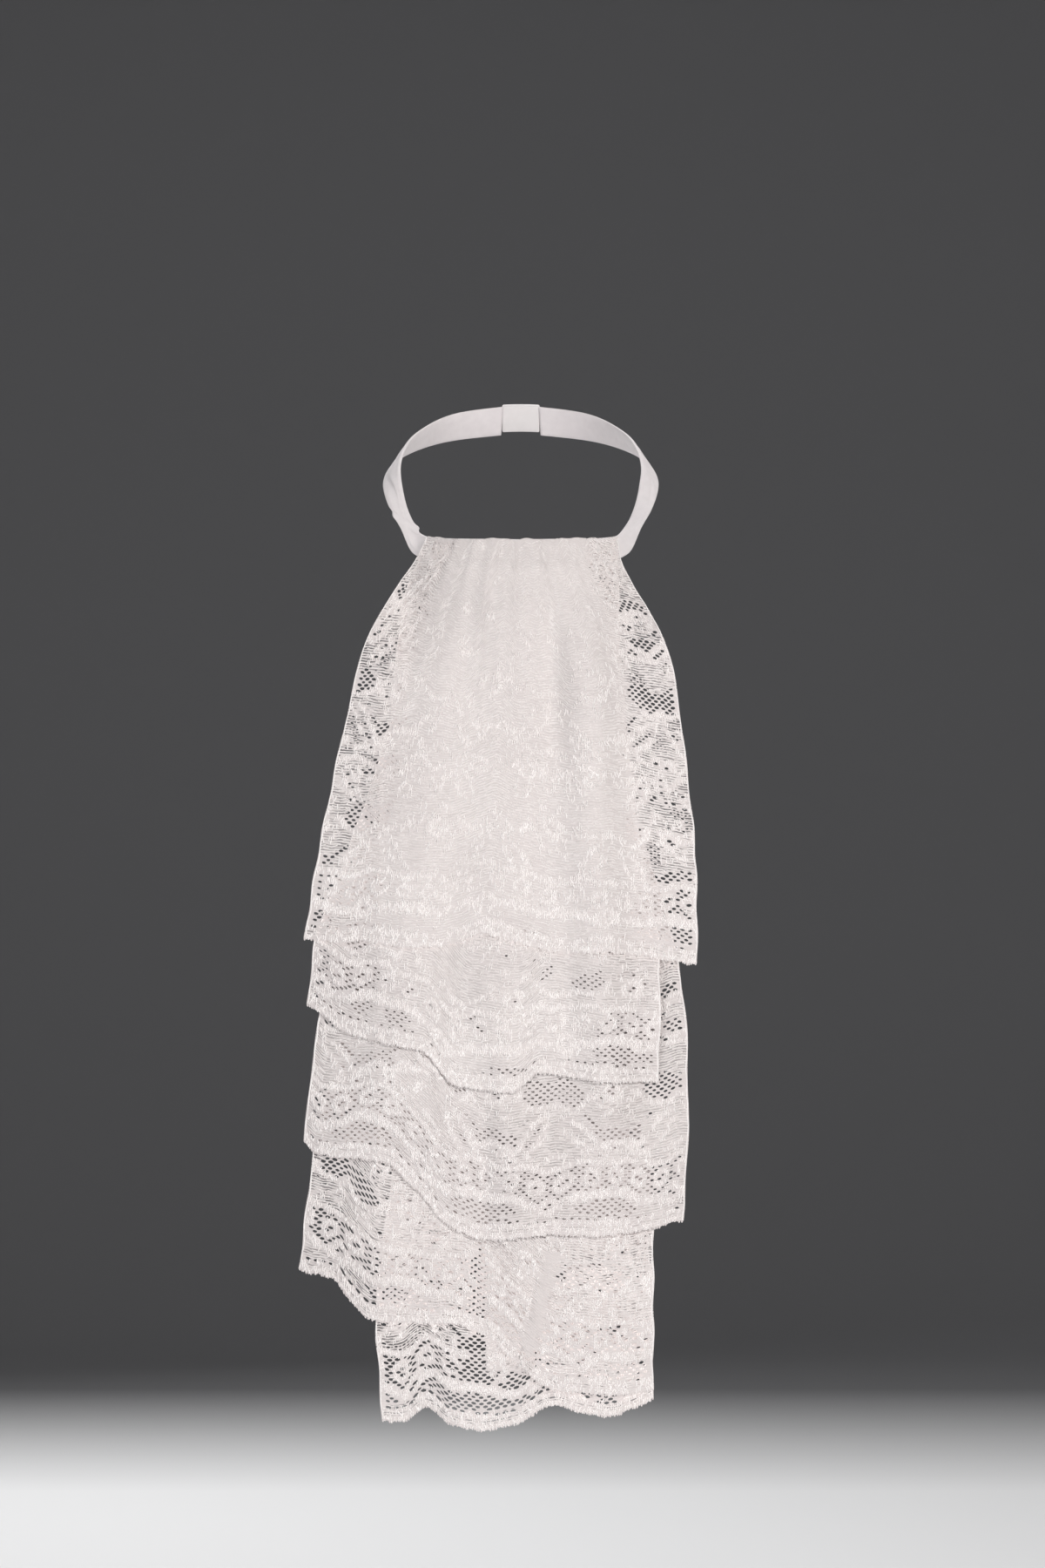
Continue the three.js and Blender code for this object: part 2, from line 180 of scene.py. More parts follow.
TIERS = (
    TierShape(
        "lace_tier_1", 0.0,
        [0, 0.05, 0.11, 0.18, 0.25, 0.35, 0.5, 0.8, 1],
        [-0.485, -0.53, -0.61, -0.7, -0.775, -0.84, -0.91, -1.035, -1.1],
        [0.5, 0.512, 0.567, 0.66, 0.73, 0.79, 0.833, 0.892, 0.895],
        [0, 0.12, 0.325, 0.454, 0.66, 0.893, 1],
        [0.452, 0.457, 0.46, 0.449, 0.466, 0.472, 0.481],
        186, 56, 2.0, 10.0, 11, 0.46, 0.96,
    ),
    TierShape(
        "lace_tier_2", 0.0,
        [0, 0.15, 0.4, 0.6, 0.75, 0.86, 1],
        [-0.485, -0.61, -0.67, -0.82, -0.95, -1.045, -1.085],
        [0.5, 0.505, 0.55, 0.62, 0.7, 0.705, 0.697],
        [0, 0.124, 0.327, 0.427, 0.588, 0.662, 0.774, 1],
        [0.528, 0.558, 0.577, 0.616, 0.621, 0.601, 0.609, 0.611],
        168, 36, 1.5, 24.0, 12, 0.52, 0.8,
    ),
    TierShape(
        "lace_tier_3", 0.25,
        [0, 0.25, 0.5, 0.65, 0.8, 1],
        [-0.5, -0.75, -0.96, -1.014, -1.06, -1.1],
        [0.45, 0.68, 0.82, 0.846, 0.846, 0.82],
        [0, 0.03, 0.21, 0.3, 0.39, 0.485, 0.67, 0.81, 1],
        [0.683, 0.694, 0.7, 0.734, 0.773, 0.786, 0.783, 0.781, 0.77],
        180, 28, 1.5, 2.0, 13, 0.65, 0.8,
    ),
    TierShape(
        "lace_tier_4", 0.375,
        [0, 0.25, 0.5, 0.7, 0.85, 1],
        [-0.45, -0.78, -0.96, -1.05, -1.09, -1.125],
        [0.42, 0.58, 0.64, 0.67, 0.67, 0.667],
        [0, 0.1, 0.14, 0.214, 0.412, 0.534, 0.61, 0.73, 0.88, 1],
        [0.825, 0.836, 0.856, 0.878, 0.882, 0.895, 0.922, 0.955, 0.961, 0.955],
        168, 48, 1.5, 16.0, 14, 0.86, 0.94,
    ),
    TierShape(
        "lace_tier_5", 0.51,
        [0, 0.35, 0.6, 0.77, 0.9, 1],
        [-0.42, -0.62, -0.7, -0.732, -0.714, -0.7],
        [0.4, 0.55, 0.64, 0.668, 0.668, 0.666],
        [0, 0.08, 0.164, 0.26, 0.356, 0.507, 0.626, 0.74, 0.839, 0.95, 1],
        [0.99, 0.991, 0.974, 0.993, 0.999, 0.991, 0.971, 0.98, 0.984, 0.973, 0.966],
        130, 46, 0.0, 8.0, 15, 0.98, 1.04,
    ),
)
# The tiers from here down lie on the visible end of the stay
LOW_TIER = 3


@dataclass
class Drape:
    """How the lace hangs from the band and over the chest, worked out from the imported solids."""

    band_height: float = 13 * MM
    band_splay: float = 7 * MM
    wall: float = 1.4 * MM
    tuck: float = 1.0 * MM
    seam_gap: float = 0.4 * MM
    layer_gap: float = 2.6 * MM
    layer_lead: float = 16 * MM
    layer_hold: float = 4 * MM
    layer_relax: float = 34 * MM
    chest_radius: float = 220 * MM
    chest_forward: float = 36 * MM
    chest_swell: float = 0.85
    neck_to_chest: float = 70 * MM
    fold_height: float = 9 * MM
    fold_ease: float = 46 * MM
    fold_loss: float = 0.13
    gather_height: float = 0.9 * MM
    gather_pitch: float = 8.4 * MM
    gather_drop: float = 52 * MM
    gather_fan: float = 0.6
    ruffle_height: float = 0.4 * MM
    ruffle_pitch: float = 29 * MM
    ruffle_start: float = 0.72
    curve_reach: float = 0.8
    crimp_height: float = 0.28 * MM
    crimp_pitch: float = 4.1 * MM
    ripple_height: float = 0.35 * MM

    def __post_init__(self) -> None:
        """Take the band's and the lace's sizes from the frame."""
        low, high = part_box("neck_band")
        self.lower_a = (high[0] - low[0]) / 2
        self.lower_b = (high[1] - low[1]) / 2
        self.front_z = low[2] + self.band_height
        self.band_rise = high[2] - self.front_z
        first_low, first_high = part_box(TIERS[0].node)
        reach = TIERS[0].right[-1] - TIERS[0].left[-1]
        self.half_lace = (first_high[0] - first_low[0]) / reach
        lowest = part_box(TIERS[-1].node)[0][2]
        self.lace_drop = (self.front_z - lowest) / max(TIERS[-1].drops)

    def band_front(self, x: np.ndarray, share: np.ndarray) -> tuple[np.ndarray, np.ndarray]:
        """Front of the band.

        Args:
            x: Places across.
            share: How far down the band's face, from its upper edge (0) to its lower edge (1).

        Returns:
            Depth and height there.
        """
        a = self.lower_a - self.band_splay * (1 - share)
        b = self.lower_b - self.band_splay * (1 - share)
        inside = np.minimum(np.abs(x), self.curve_reach * a)
        root = np.sqrt(1 - (inside / a) ** 2)
        slope = b * inside / (a * a * root)
        turn = np.degrees(np.arcsin(np.minimum(1, np.abs(x) / a)))
        upper = self.front_z + self.band_rise * BAND_UPPER.at(turn)
        lower = self.front_z - self.band_height + self.band_rise * BAND_LOWER.at(turn)
        return -b * root + slope * (np.abs(x) - inside), blend(upper, lower, share)

    def seat(self, x: np.ndarray, z: np.ndarray) -> np.ndarray:
        """Depth of the surface that the lace lies on: the band's face, and the stay below it.

        Args:
            x: Places across.
            z: Heights.

        Returns:
            Depths.
        """
        edge_y, edge_z = self.band_front(x, np.ones_like(x))
        share = np.ones_like(x)
        for _ in range(4):
            share = share + (self.band_front(x, share)[1] - z) / self.band_height
        on_band = self.band_front(x, np.clip(share, -1, 1))[0]
        under = np.maximum(edge_z - z, 0)
        chest = -self.lower_b + x * x / (2 * self.chest_radius)
        hang = blend(edge_y, chest, smooth(under / self.neck_to_chest))
        below = hang - self.chest_forward * (under / self.lace_drop) ** self.chest_swell
        return np.where(z >= edge_z, on_band, below)

    def tier_top(self, index: int) -> float:
        """Height of a tier's seam on the stay."""
        return self.front_z - TIERS[index].top * self.lace_drop

    def stand_off(self, index: int, z: np.ndarray) -> np.ndarray:
        """Distance from the seat to a tier, with room for every tier behind it.

        Args:
            index: Place of the tier in TIERS.
            z: Heights.

        Returns:
            Distances towards the front.
        """
        distance = np.full_like(z, -self.wall / 2)
        for behind in range(index, len(TIERS)):
            below = self.tier_top(behind) - z
            eased = smooth((below - self.layer_hold) / self.layer_relax)
            gap = blend(self.seam_gap, self.layer_gap, eased)
            present = 1.0 if behind == index else smooth((below + self.layer_lead) / self.layer_lead)
            distance = distance + (gap + self.wall) * present
        return distance

    def folds(self, x: np.ndarray, z: np.ndarray) -> np.ndarray:
        """Height of the soft folds that stand forward of the seat.

        Args:
            x: Places across.
            z: Heights.

        Returns:
            Heights of the folds.
        """
        drop = (self.front_z - z) / self.lace_drop
        ease = self.fold_ease / self.lace_drop
        height = np.zeros_like(x)
        for fold in FOLDS:
            along = np.clip((drop - fold.start) / (fold.end - fold.start), 0, 1)
            centre = blend(fold.upper, fold.lower, along) * self.half_lace
            fade = smooth((drop - fold.start) / ease + 0.5) * smooth((fold.end - drop) / ease + 0.5)
            height += fold.high * fade * np.exp(-(((x - centre) / (fold.wide * self.half_lace)) ** 2))
        return self.fold_height * height

    def gathers(self, x: np.ndarray, below: np.ndarray) -> np.ndarray:
        """Pleats below a seam, wide ones as in the solids with finer ones on them.

        Args:
            x: Places across.
            below: Distances below the seam.

        Returns:
            Heights of the pleats.
        """
        fanned = x / (1 + self.gather_fan * (np.maximum(0, below) / self.gather_drop))
        wave = 0.5 - 0.5 * np.cos(2 * np.pi * fanned / self.gather_pitch)
        uneven = 0.55 + 0.45 * np.sin(fanned / (7.3 * MM) + 1.2) * np.sin(fanned / (19 * MM))
        drift = 1.7 * np.sin(fanned / (11 * MM))
        fine = 0.5 - 0.5 * np.cos(2 * np.pi * fanned / self.crimp_pitch + drift)
        fade = 1 - smooth(below / self.gather_drop)
        return fade * (self.gather_height * uneven * wave + self.crimp_height * fine)


@dataclass(frozen=True)
class Leaf:
    """A leaf of the lace: its middle, the way it points in degrees, its length and its width."""

    u: float
    w: float
    turn: float
    length: float
    width: float


@dataclass(frozen=True)
class Window:
    """An oval of open net in the lace: its middle, its half width and its half height."""

    u: float
    w: float
    wide: float
    high: float

    def reach(self, u: np.ndarray, w: np.ndarray) -> np.ndarray:
        """Distance from the middle, as a share of the oval: below 1 is inside."""
        return ((u - self.u) / self.wide) ** 2 + ((w - self.w) / self.high) ** 2


@dataclass
class Drawing:
    """The lace at some places: how solid it is, and where its bright stitches lie.

    fill runs from 0, open net, to 1, close cloth. A fill just below 0 is an eyelet, larger than the net's
    own holes. bright is 1 on the stitched bands and 0 elsewhere.
    """

    fill: np.ndarray
    bright: np.ndarray

    def stitch(self, where: np.ndarray) -> None:
        """Close the cloth and stitch it in some places."""
        self.fill = np.where(where, 1.0, self.fill)
        self.bright = np.where(where, 1.0, self.bright)

    def leave(self, where: np.ndarray, fill: float) -> None:
        """Leave some places unstitched, with a given fill."""
        self.fill = np.where(where, fill, self.fill)
        self.bright = np.where(where, 0.0, self.bright)


@dataclass(frozen=True)
class LacePattern:
    """Generic floral lace on a net whose rows are staggered, drafted flat in millimetres."""

    repeat: float = 58.6
    rise: float = 64.0
    net_pitch: float = 3.7
    net_row: float = 1.5
    net_slant: float = 0.24
    hole_half_width: float = 1.36
    hole_half_height: float = 0.72
    closed: float = 0.72
    border_top: float = 36.0
    eyelet_height: float = 7.2
    curl_height: float = 27.0
    curl_radius: float = 4.5
    curl_eye: float = 1.9
    curls: int = 5
    flower_height: float = 31.0
    flower_radius: float = 13.0
    petals: int = 6
    leaves: tuple[Leaf, ...] = (
        Leaf(-18.5, 13.0, 130.0, 26.0, 9.4),
        Leaf(18.5, 13.0, 50.0, 26.0, 9.4),
        Leaf(-13.5, 49.0, 60.0, 21.0, 8.0),
        Leaf(13.5, 49.0, 120.0, 21.0, 8.0),
        Leaf(0.0, 55.0, 90.0, 17.0, 7.8),
    )
    windows: tuple[Window, ...] = (
        Window(-22.0, 33.0, 8.6, 6.2),
        Window(22.0, 33.0, 8.6, 6.2),
        Window(0.0, 11.0, 10.5, 4.6),
        Window(-27.5, 57.0, 9.0, 4.6),
        Window(27.5, 57.0, 9.0, 4.6),
    )
    border_window: Window = Window(0.0, 12.0, 15.8, 3.9)
    small_curls: tuple[tuple[float, float], ...] = (
        (-26.5, 1.0), (26.5, 1.0), (0.0, -2.0), (-8.0, 1.5), (8.0, 1.5),
    )

    def from_low(self, u: np.ndarray, low: float) -> np.ndarray:
        """Distance along the hem from the nearest scallop's lowest point."""
        return (u - low + self.repeat / 2) % self.repeat - self.repeat / 2

    def wander(self, u: np.ndarray, w: np.ndarray) -> tuple[np.ndarray, np.ndarray]:
        """Let the drawing drift a little, as on lace that was washed and worn.

        Args:
            u: Places along the hem.
            w: Heights above the hem.

        Returns:
            The places in the drawing that show there.
        """
        fade = smooth((w - 2.5) / 8)
        aside = 1.5 * np.sin(w / 9.5 + 0.8 * np.sin(u / 17)) + 0.8 * np.sin(w / 4.3 + u / 13)
        up = 1.5 * np.sin(u / 8.3 + 0.9 * np.sin(w / 21)) + 0.9 * np.sin(u / 3.9 - w / 11)
        return u + aside * fade, w + up * fade

    def draw(self, u: np.ndarray, w: np.ndarray, low: float, shift: float) -> Drawing:
        """Draw the lace.

        Args:
            u: Places along the hem.
            w: Heights above the hem.
            low: Place of one scallop's lowest point.
            shift: Height by which the flower sprays are moved.

        Returns:
            The lace there.
        """
        u, w = self.wander(u, w)
        up = w - self.border_top + shift
        row = np.floor(up / self.rise)
        spray_u = self.from_low(u, np.where(row % 2 == 0, low, low + self.repeat / 2))
        ground = 0.74 + 0.17 * np.sin(u / 5.3 + 1.7 * np.sin(w / 13)) * np.sin(w / 6.1 + 0.6 * np.sin(u / 9))
        spray = self.draw_spray(Drawing(ground, np.zeros_like(ground)), spray_u, up - row * self.rise)
        plain = Drawing(np.full_like(ground, 0.7), np.zeros_like(ground))
        border = self.draw_border(plain, self.from_low(u, low), w)
        in_border = w < self.border_top
        return Drawing(
            np.where(in_border, border.fill, spray.fill), np.where(in_border, border.bright, spray.bright))

    def draw_spray(self, lace: Drawing, u: np.ndarray, w: np.ndarray) -> Drawing:
        """Draw one flower with its leaves, windows and scrolls.

        Args:
            lace: The ground.
            u: Places from the spray's middle line.
            w: Heights above the spray's foot.

        Returns:
            The ground with the spray on it.
        """
        for window in self.windows:
            reach = window.reach(u, w)
            lace.stitch((reach < 1.9) & (w < window.w + 0.2 * window.high))
            lace.leave(reach < 1, 0.0)
        scroll = 3.5 + 5.5 * np.cos(2 * np.pi * u / self.repeat)
        lace.stitch(np.abs(w - scroll) < 1.6)
        twist = self.rise - 6.0 - 4.0 * np.cos(4 * np.pi * u / self.repeat)
        lace.stitch(np.abs(w - twist) < 1.3)
        from_flower = np.hypot(u, w - self.flower_height)
        lace.leave((np.abs(from_flower - 18.6) < 0.8) & (np.abs(u) < 16), -0.1)
        for leaf in self.leaves:
            angle = math.radians(leaf.turn)
            along = ((u - leaf.u) * math.cos(angle) + (w - leaf.w) * math.sin(angle)) / (leaf.length / 2)
            aside = -(u - leaf.u) * math.sin(angle) + (w - leaf.w) * math.cos(angle)
            half = (leaf.width / 2) * np.maximum(1 - along * along, 0) ** 0.7
            inside = (np.abs(along) < 1) & (np.abs(aside) < half)
            lace.stitch(inside)
            lace.leave(inside & (np.abs(aside) < 0.42 * half) & (np.abs(along) < 0.8), 0.9)
            lace.leave(inside & (np.abs(aside) < 0.7) & (along < 0.5), 0.35)
        angle = np.arctan2(w - self.flower_height, u)
        edge = self.flower_radius * (0.78 + 0.22 * np.cos(self.petals * angle))
        lace.stitch(from_flower < edge)
        lace.leave((from_flower > 5.2) & (from_flower < edge - 2.4), 0.88)
        slit = np.abs(np.sin(self.petals * angle / 2)) > 0.95
        lace.leave(slit & (from_flower > 5.6) & (from_flower < edge), 0.1)
        lace.leave(from_flower < 2.0, -0.1)
        for curl_u, curl_w in self.small_curls:
            near = np.hypot(u - curl_u, w - curl_w)
            lace.stitch(near < 3.6)
            lace.leave(near < 1.5, -0.1)
        return lace

    def draw_border(self, lace: Drawing, u: np.ndarray, w: np.ndarray) -> Drawing:
        """Draw one scallop of the border, from the hem up to the row of curls.

        Args:
            lace: The ground.
            u: Places from the scallop's lowest point.
            w: Heights above the hem.

        Returns:
            The ground with the border on it.
        """
        side = np.abs(u) / (self.repeat / 2)
        dip = 6.5 * side**2
        lace.leave((w > 20.5 - dip) & (w < 32.5 - 0.5 * dip), 0.12)
        for curl_u, curl_w in self.curl_centres():
            near = np.hypot(u - curl_u, w - curl_w)
            lace.stitch(near < self.curl_radius)
            lace.leave(near < self.curl_eye, -0.1)
        lace.stitch(np.abs(w - 33.6 + 0.4 * dip) < 1.5)
        lace.stitch(np.abs(w - 18.6 + dip) < 2.9 * (1 - 0.4 * side))
        rose = np.hypot(self.repeat / 2 - np.abs(u), w - 14.0)
        lace.stitch(rose < 5.2)
        lace.leave(rose < 1.8, -0.1)
        lace.leave(self.border_window.reach(u, w) < 1, 0.0)
        below = w < self.eyelet_height + 0.8 + 0.7 * np.sin(u / 4.6)
        lace.stitch(below)
        lace.leave(below & (np.abs(w - self.eyelet_height) < 0.8), -0.15)
        lace.leave((np.abs(w - 3.2) < 1.0) & (np.abs((u / 6.5) % 1 - 0.5) < 0.34), 0.9)
        return lace

    def curl_centres(self) -> list[tuple[float, float]]:
        """Set out the border's curls in one repeat, which dip with the scallop.

        Returns:
            The curls' middles.
        """
        step = self.repeat / self.curls
        places = [(number - (self.curls - 1) / 2) * step for number in range(self.curls)]
        return [(place, self.curl_height - 4.5 * (place / (self.repeat / 2)) ** 2) for place in places]


def make_object(name: str, points: np.ndarray, faces: list, smooth_faces: bool = True) -> bpy.types.Object:
    """Make a mesh object at the origin.

    Args:
        name: Name of the piece.
        points: Vertices in metres.
        faces: Polygons as lists of vertex numbers.
        smooth_faces: Whether the faces are shaded smooth.

    Returns:
        The new object.
    """
    mesh = bpy.data.meshes.new(name)
    mesh.from_pydata(np.asarray(points, float).tolist(), [], faces)
    mesh.update()
    mesh.polygons.foreach_set("use_smooth", [smooth_faces] * len(mesh.polygons))
    piece = bpy.data.objects.new(name, mesh)
    bpy.context.scene.collection.objects.link(piece)
    return piece


def write_layout(piece: bpy.types.Object, uv: np.ndarray, **masks: np.ndarray) -> None:
    """Store the flat layout and the masks that its material reads on a mesh.

    Args:
        piece: The mesh object.
        uv: Flat place of each vertex, in units of 100 mm.
        **masks: A value for each vertex, by the mask's name.
    """
    mesh = piece.data
    corner_vertex = np.empty(len(mesh.loops), dtype=np.int64)
    mesh.loops.foreach_get("vertex_index", corner_vertex)
    layer = mesh.uv_layers.new(name="flat")
    layer.data.foreach_set("uv", uv[corner_vertex].astype(np.float32).ravel())
    for name, values in masks.items():
        attribute = mesh.attributes.new(name, "FLOAT", "POINT")
        attribute.data.foreach_set("value", values.astype(np.float32))


@dataclass(frozen=True)
class Stitch:
    """A kind of stitch: its spacing across and up, its size, its lean, the share kept and its direction.

    Lengths are flat millimetres, except the height, which is in metres. A laid stitch lies along the lace's
    rows on the close ground. The others stand upright on the bright bands.
    """

    across: float
    up: float
    length: float
    width: float
    height: float
    lean: float
    share: float
    laid: bool


@dataclass
class NetCells:
    """The cells of a tier's net, laid out flat in millimetres.

    corner_u and corner_w are the places of the corners, and corners holds six of their numbers for each
    cell. u and w are the cells' middles. whole is true for cells that no edge of the lace cuts.
    """

    corner_u: np.ndarray
    corner_w: np.ndarray
    corners: np.ndarray
    u: np.ndarray
    w: np.ndarray
    whole: np.ndarray


@dataclass
class LaceTier:
    """One tier of lace: the pierced net, and the raised stitches and cords on it."""

    index: int
    drape: Drape
    pattern: LacePattern
    stay: BackingStay
    raise_dense: float = 0.3 * MM
    upright: Stitch = Stitch(0.96, 1.9, 2.2, 0.56, 0.42 * MM, 0.24, 0.96, False)
    laid: Stitch = Stitch(3.1, 1.24, 3.7, 0.46, 0.28 * MM, 0.07, 0.88, True)
    laid_shine: float = 0.35
    cord_width: float = 0.75
    cord_height: float = 0.5 * MM
    least_cell: float = 0.14
    hole_spread: float = 0.09
    largest_hole: float = 1.06
    side_margin: float = 2.4
    hem_margin: float = 2.5
    picot_pitch: float = 1.05
    picot_reach: float = 1.2
    hem_press: float = 2.85 * MM
    edge_wander: float = 0.35 * MM
    hem_wander: float = 0.22 * MM
    chevron: float = 2.6
    chevron_pitch: float = 13.5 * MM
    cut_share: float = 0.86
    shadow_tiers: tuple[int, ...] = (1, 2)
    shape: TierShape = field(init=False)

    def __post_init__(self) -> None:
        """Set out the tier's curves."""
        self.shape = TIERS[self.index]
        self.left = Curve(self.shape.along, self.shape.left)
        self.right = Curve(self.shape.along, self.shape.right)
        self.hem = Curve(self.shape.across, self.shape.drops)
        self.random = np.random.default_rng(self.shape.seed)

    def seam_place(self, s: np.ndarray) -> np.ndarray:
        """Place across of the seam."""
        return self.drape.half_lace * blend(self.shape.left[0], self.shape.right[0], s)

    def seam_height(self, s: np.ndarray) -> np.ndarray:
        """Height of the seam: along the band's upper edge, or level across the stay.

        Args:
            s: Shares of the way across.

        Returns:
            Heights of the seam. The first tier's is a little uneven.
        """
        if self.shape.top > 0:
            return np.full_like(s, self.drape.tier_top(self.index))
        x = self.seam_place(s)
        edge = self.drape.band_front(x, np.zeros_like(s))[1] - self.drape.tuck
        if self.index > 0:
            return edge
        coarse = np.sin(x / (3.4 * MM) + 1.5 * np.sin(x / (8.3 * MM)))
        bumps = 1.3 + 0.35 * coarse + 0.2 * np.sin(x / (1.3 * MM))
        return edge + bumps * MM

    def hem_height(self, s: np.ndarray) -> np.ndarray:
        """Height of the hem with its scallops, a little uneven.

        Args:
            s: Shares of the way across.

        Returns:
            Heights of the hem.
        """
        u = s * self.shape.flat_width
        side = np.abs(self.pattern.from_low(u, self.shape.scallop_low)) / (self.pattern.repeat / 2)
        drop = self.hem.at(s) * self.drape.lace_drop - self.shape.scallop * MM * side**2.4
        uneven = np.sin(u / 1.7 + 1.9 * np.sin(u / 5.9)) + 0.8 * np.sin(u / 4.1 + self.index)
        return self.drape.front_z - drop + self.hem_wander * uneven

    def flat_height(self, s: np.ndarray) -> np.ndarray:
        """Length of the lace from hem to seam in millimetres."""
        return (self.seam_height(s) - self.hem_height(s)) / MM

    def tallest(self) -> float:
        """Greatest length of the lace from hem to seam in millimetres."""
        return float(self.flat_height(np.linspace(0, 1, 50)).max())

    def place(self, u: np.ndarray, w: np.ndarray, forward: np.ndarray) -> np.ndarray:
        """Hang flat points of the lace on the drape.

        Args:
            u: Places along the hem, in millimetres.
            w: Heights above the hem, in millimetres.
            forward: How far each point stands in front of the lace, in metres.

        Returns:
            Points in metres.
        """
        drape = self.drape
        s = u / self.shape.flat_width
        t = 1 - w / self.flat_height(s)
        x = drape.half_lace * blend(self.left.at(t), self.right.at(t), s)
        seam = self.seam_height(s)
        z = seam + (self.hem_height(s) - seam) * t
        below = seam - z
        sideways = (2 * s - 1) ** 7 * smooth(below / (30 * MM))
        x = x + self.edge_wander * sideways * np.sin(z / (5.3 * MM) + 2 * np.sin(z / (31 * MM)) + self.index)
        share = 1 - drape.fold_loss * self.index
        fold = share * drape.folds(x, z) * smooth((below - drape.layer_hold) / drape.fold_ease)
        edge = smooth((t - drape.ruffle_start) / (1 - drape.ruffle_start))
        wave = 0.5 - 0.5 * np.cos(2 * np.pi * (x + drape.half_lace) / drape.ruffle_pitch + self.index)
        ripple = np.sin(x / (6.1 * MM) + 0.5 * self.index + 1.4 * np.sin(z / (19 * MM)))
        ripple = ripple * np.sin(z / (27 * MM) + 0.4 * self.index) * smooth(below / (60 * MM))
        out = drape.stand_off(self.index, z) + fold + drape.ruffle_height * edge * wave
        out = out + drape.gathers(x, below) + drape.ripple_height * ripple + forward
        out = out - (self.hem_press + drape.fold_loss * drape.folds(x, z)) * smooth((t - 0.86) / 0.14)
        if self.index >= LOW_TIER:
            out = out + self.stay.relief(x, z)
        return np.column_stack([x, drape.seat(x, z) - out, z])

    def gathered(self, u: np.ndarray, w: np.ndarray) -> np.ndarray:
        """Heights in the drawing, with the chevrons that the pleats below the seam draw in it.

        Args:
            u: Places along the hem.
            w: Heights above the hem.

        Returns:
            The heights that show there.
        """
        s = u / self.shape.flat_width
        height = self.flat_height(s)
        below = (height - w) * MM
        x = self.drape.half_lace * blend(self.left.at(1 - w / height), self.right.at(1 - w / height), s)
        fade = 1 - smooth((below - 30 * MM) / (130 * MM))
        middle = 1 - smooth((np.abs(s - 0.5) - 0.3) / 0.15)
        phase = 2 * np.pi * x / (self.chevron_pitch * (1 + 1.6 * below / (100 * MM)))
        return w + self.chevron * fade * middle * (np.cos(phase) + 0.4 * np.cos(2.3 * phase + 1))

    def crowding(self, u: np.ndarray, w: np.ndarray) -> np.ndarray:
        """How far the gathers below the seam close the middle of the lace.

        Args:
            u: Places along the hem.
            w: Heights above the hem.

        Returns:
            Shares from 0 to 1.
        """
        s = u / self.shape.flat_width
        t = 1 - w / self.flat_height(s)
        middle = 1 - smooth((np.abs(s - 0.5) - 0.3) / 0.1)
        return middle * (1 - smooth(t / (0.55 if self.shape.top == 0 else 0.12)))

    def openness(self, u: np.ndarray, w: np.ndarray) -> np.ndarray:
        """Share of their full size that the holes keep: gathers and the cloth behind close the middle.

        Args:
            u: Places along the hem.
            w: Heights above the hem.

        Returns:
            Shares, which drift a little all over the tier.
        """
        s = u / self.shape.flat_width
        margin = smooth((np.abs(s - 0.5) - 0.29) / 0.1)
        low = smooth((1 - w / self.flat_height(s) - 0.6) / 0.2)
        side = self.shape.open_side - (0.12 * low if self.index < LOW_TIER else 0.0)
        drift = np.sin(u / 7.7 + 1.1 * np.sin(w / 10.3) + self.index)
        drift = drift * np.sin(w / 6.9 + 1.2 * np.sin(u / 12.1))
        middle = self.shape.open_middle * (1 - 0.5 * self.crowding(u, w))
        return blend(middle, side, margin) * (0.97 + 0.13 * drift)

    def draw(self, u: np.ndarray, w: np.ndarray) -> Drawing:
        """Draw the lace at flat places of this tier, with what its gathers close.

        Args:
            u: Places along the hem.
            w: Heights above the hem.

        Returns:
            The lace there.
        """
        up = self.gathered(u, w)
        lace = self.pattern.draw(u, up, self.shape.scallop_low, self.shape.motif_shift)
        lace.fill = 1 - (1 - lace.fill) * self.openness(u, w) ** 2
        patch = 0.5 + 0.3 * np.sin(u / 2.9 + 1.3 * np.sin(up / 4.7)) + 0.25 * np.sin(up / 2.3 + u / 7.1)
        lace.leave((lace.bright > 0.5) & (self.crowding(u, w) > patch), 0.95)
        over_gap, over_tape = self.thinness(u, w)
        lace.leave((over_gap > patch) & (over_gap > 0.05) & (lace.fill > 0.25), 0.25)
        lace.leave(over_tape > 0.5, 0.98)
        if self.index == len(TIERS) - 1:
            lace.leave((lace.bright < 0.5) & (lace.fill > 0.25) & (up > 8) & (up < 24), 0.25)
        return lace

    def thinness(self, u: np.ndarray, w: np.ndarray) -> tuple[np.ndarray, np.ndarray]:
        """Where the two lowest tiers are thin enough to show what lies behind them.

        Args:
            u: Places along the hem.
            w: Heights above the hem.

        Returns:
            How far they open beside the end of the stay, and over its tape, from 0 to 1.
        """
        if self.index < LOW_TIER:
            return np.zeros_like(u), np.zeros_like(u)
        s = u / self.shape.flat_width
        t = 1 - w / self.flat_height(s)
        x = self.drape.half_lace * blend(self.left.at(t), self.right.at(t), s)
        z = self.hem_height(s) + w * MM
        drop = (self.drape.front_z - z) / self.drape.lace_drop
        edge = self.stay.half_width * float(self.stay.left.at(1.0))
        beside = smooth((x - edge + 21 * MM) / (22 * MM)) * smooth((edge - x) / (0.8 * MM))
        tape = 1 - smooth((np.abs(x - self.stay.tape_middle(z)) - 3.0 * MM) / (0.8 * MM))
        open_height = smooth((drop - 0.785) / 0.03) * smooth((0.955 - drop) / 0.015) * smooth((w - 7) / 3)
        return beside * open_height, tape * open_height

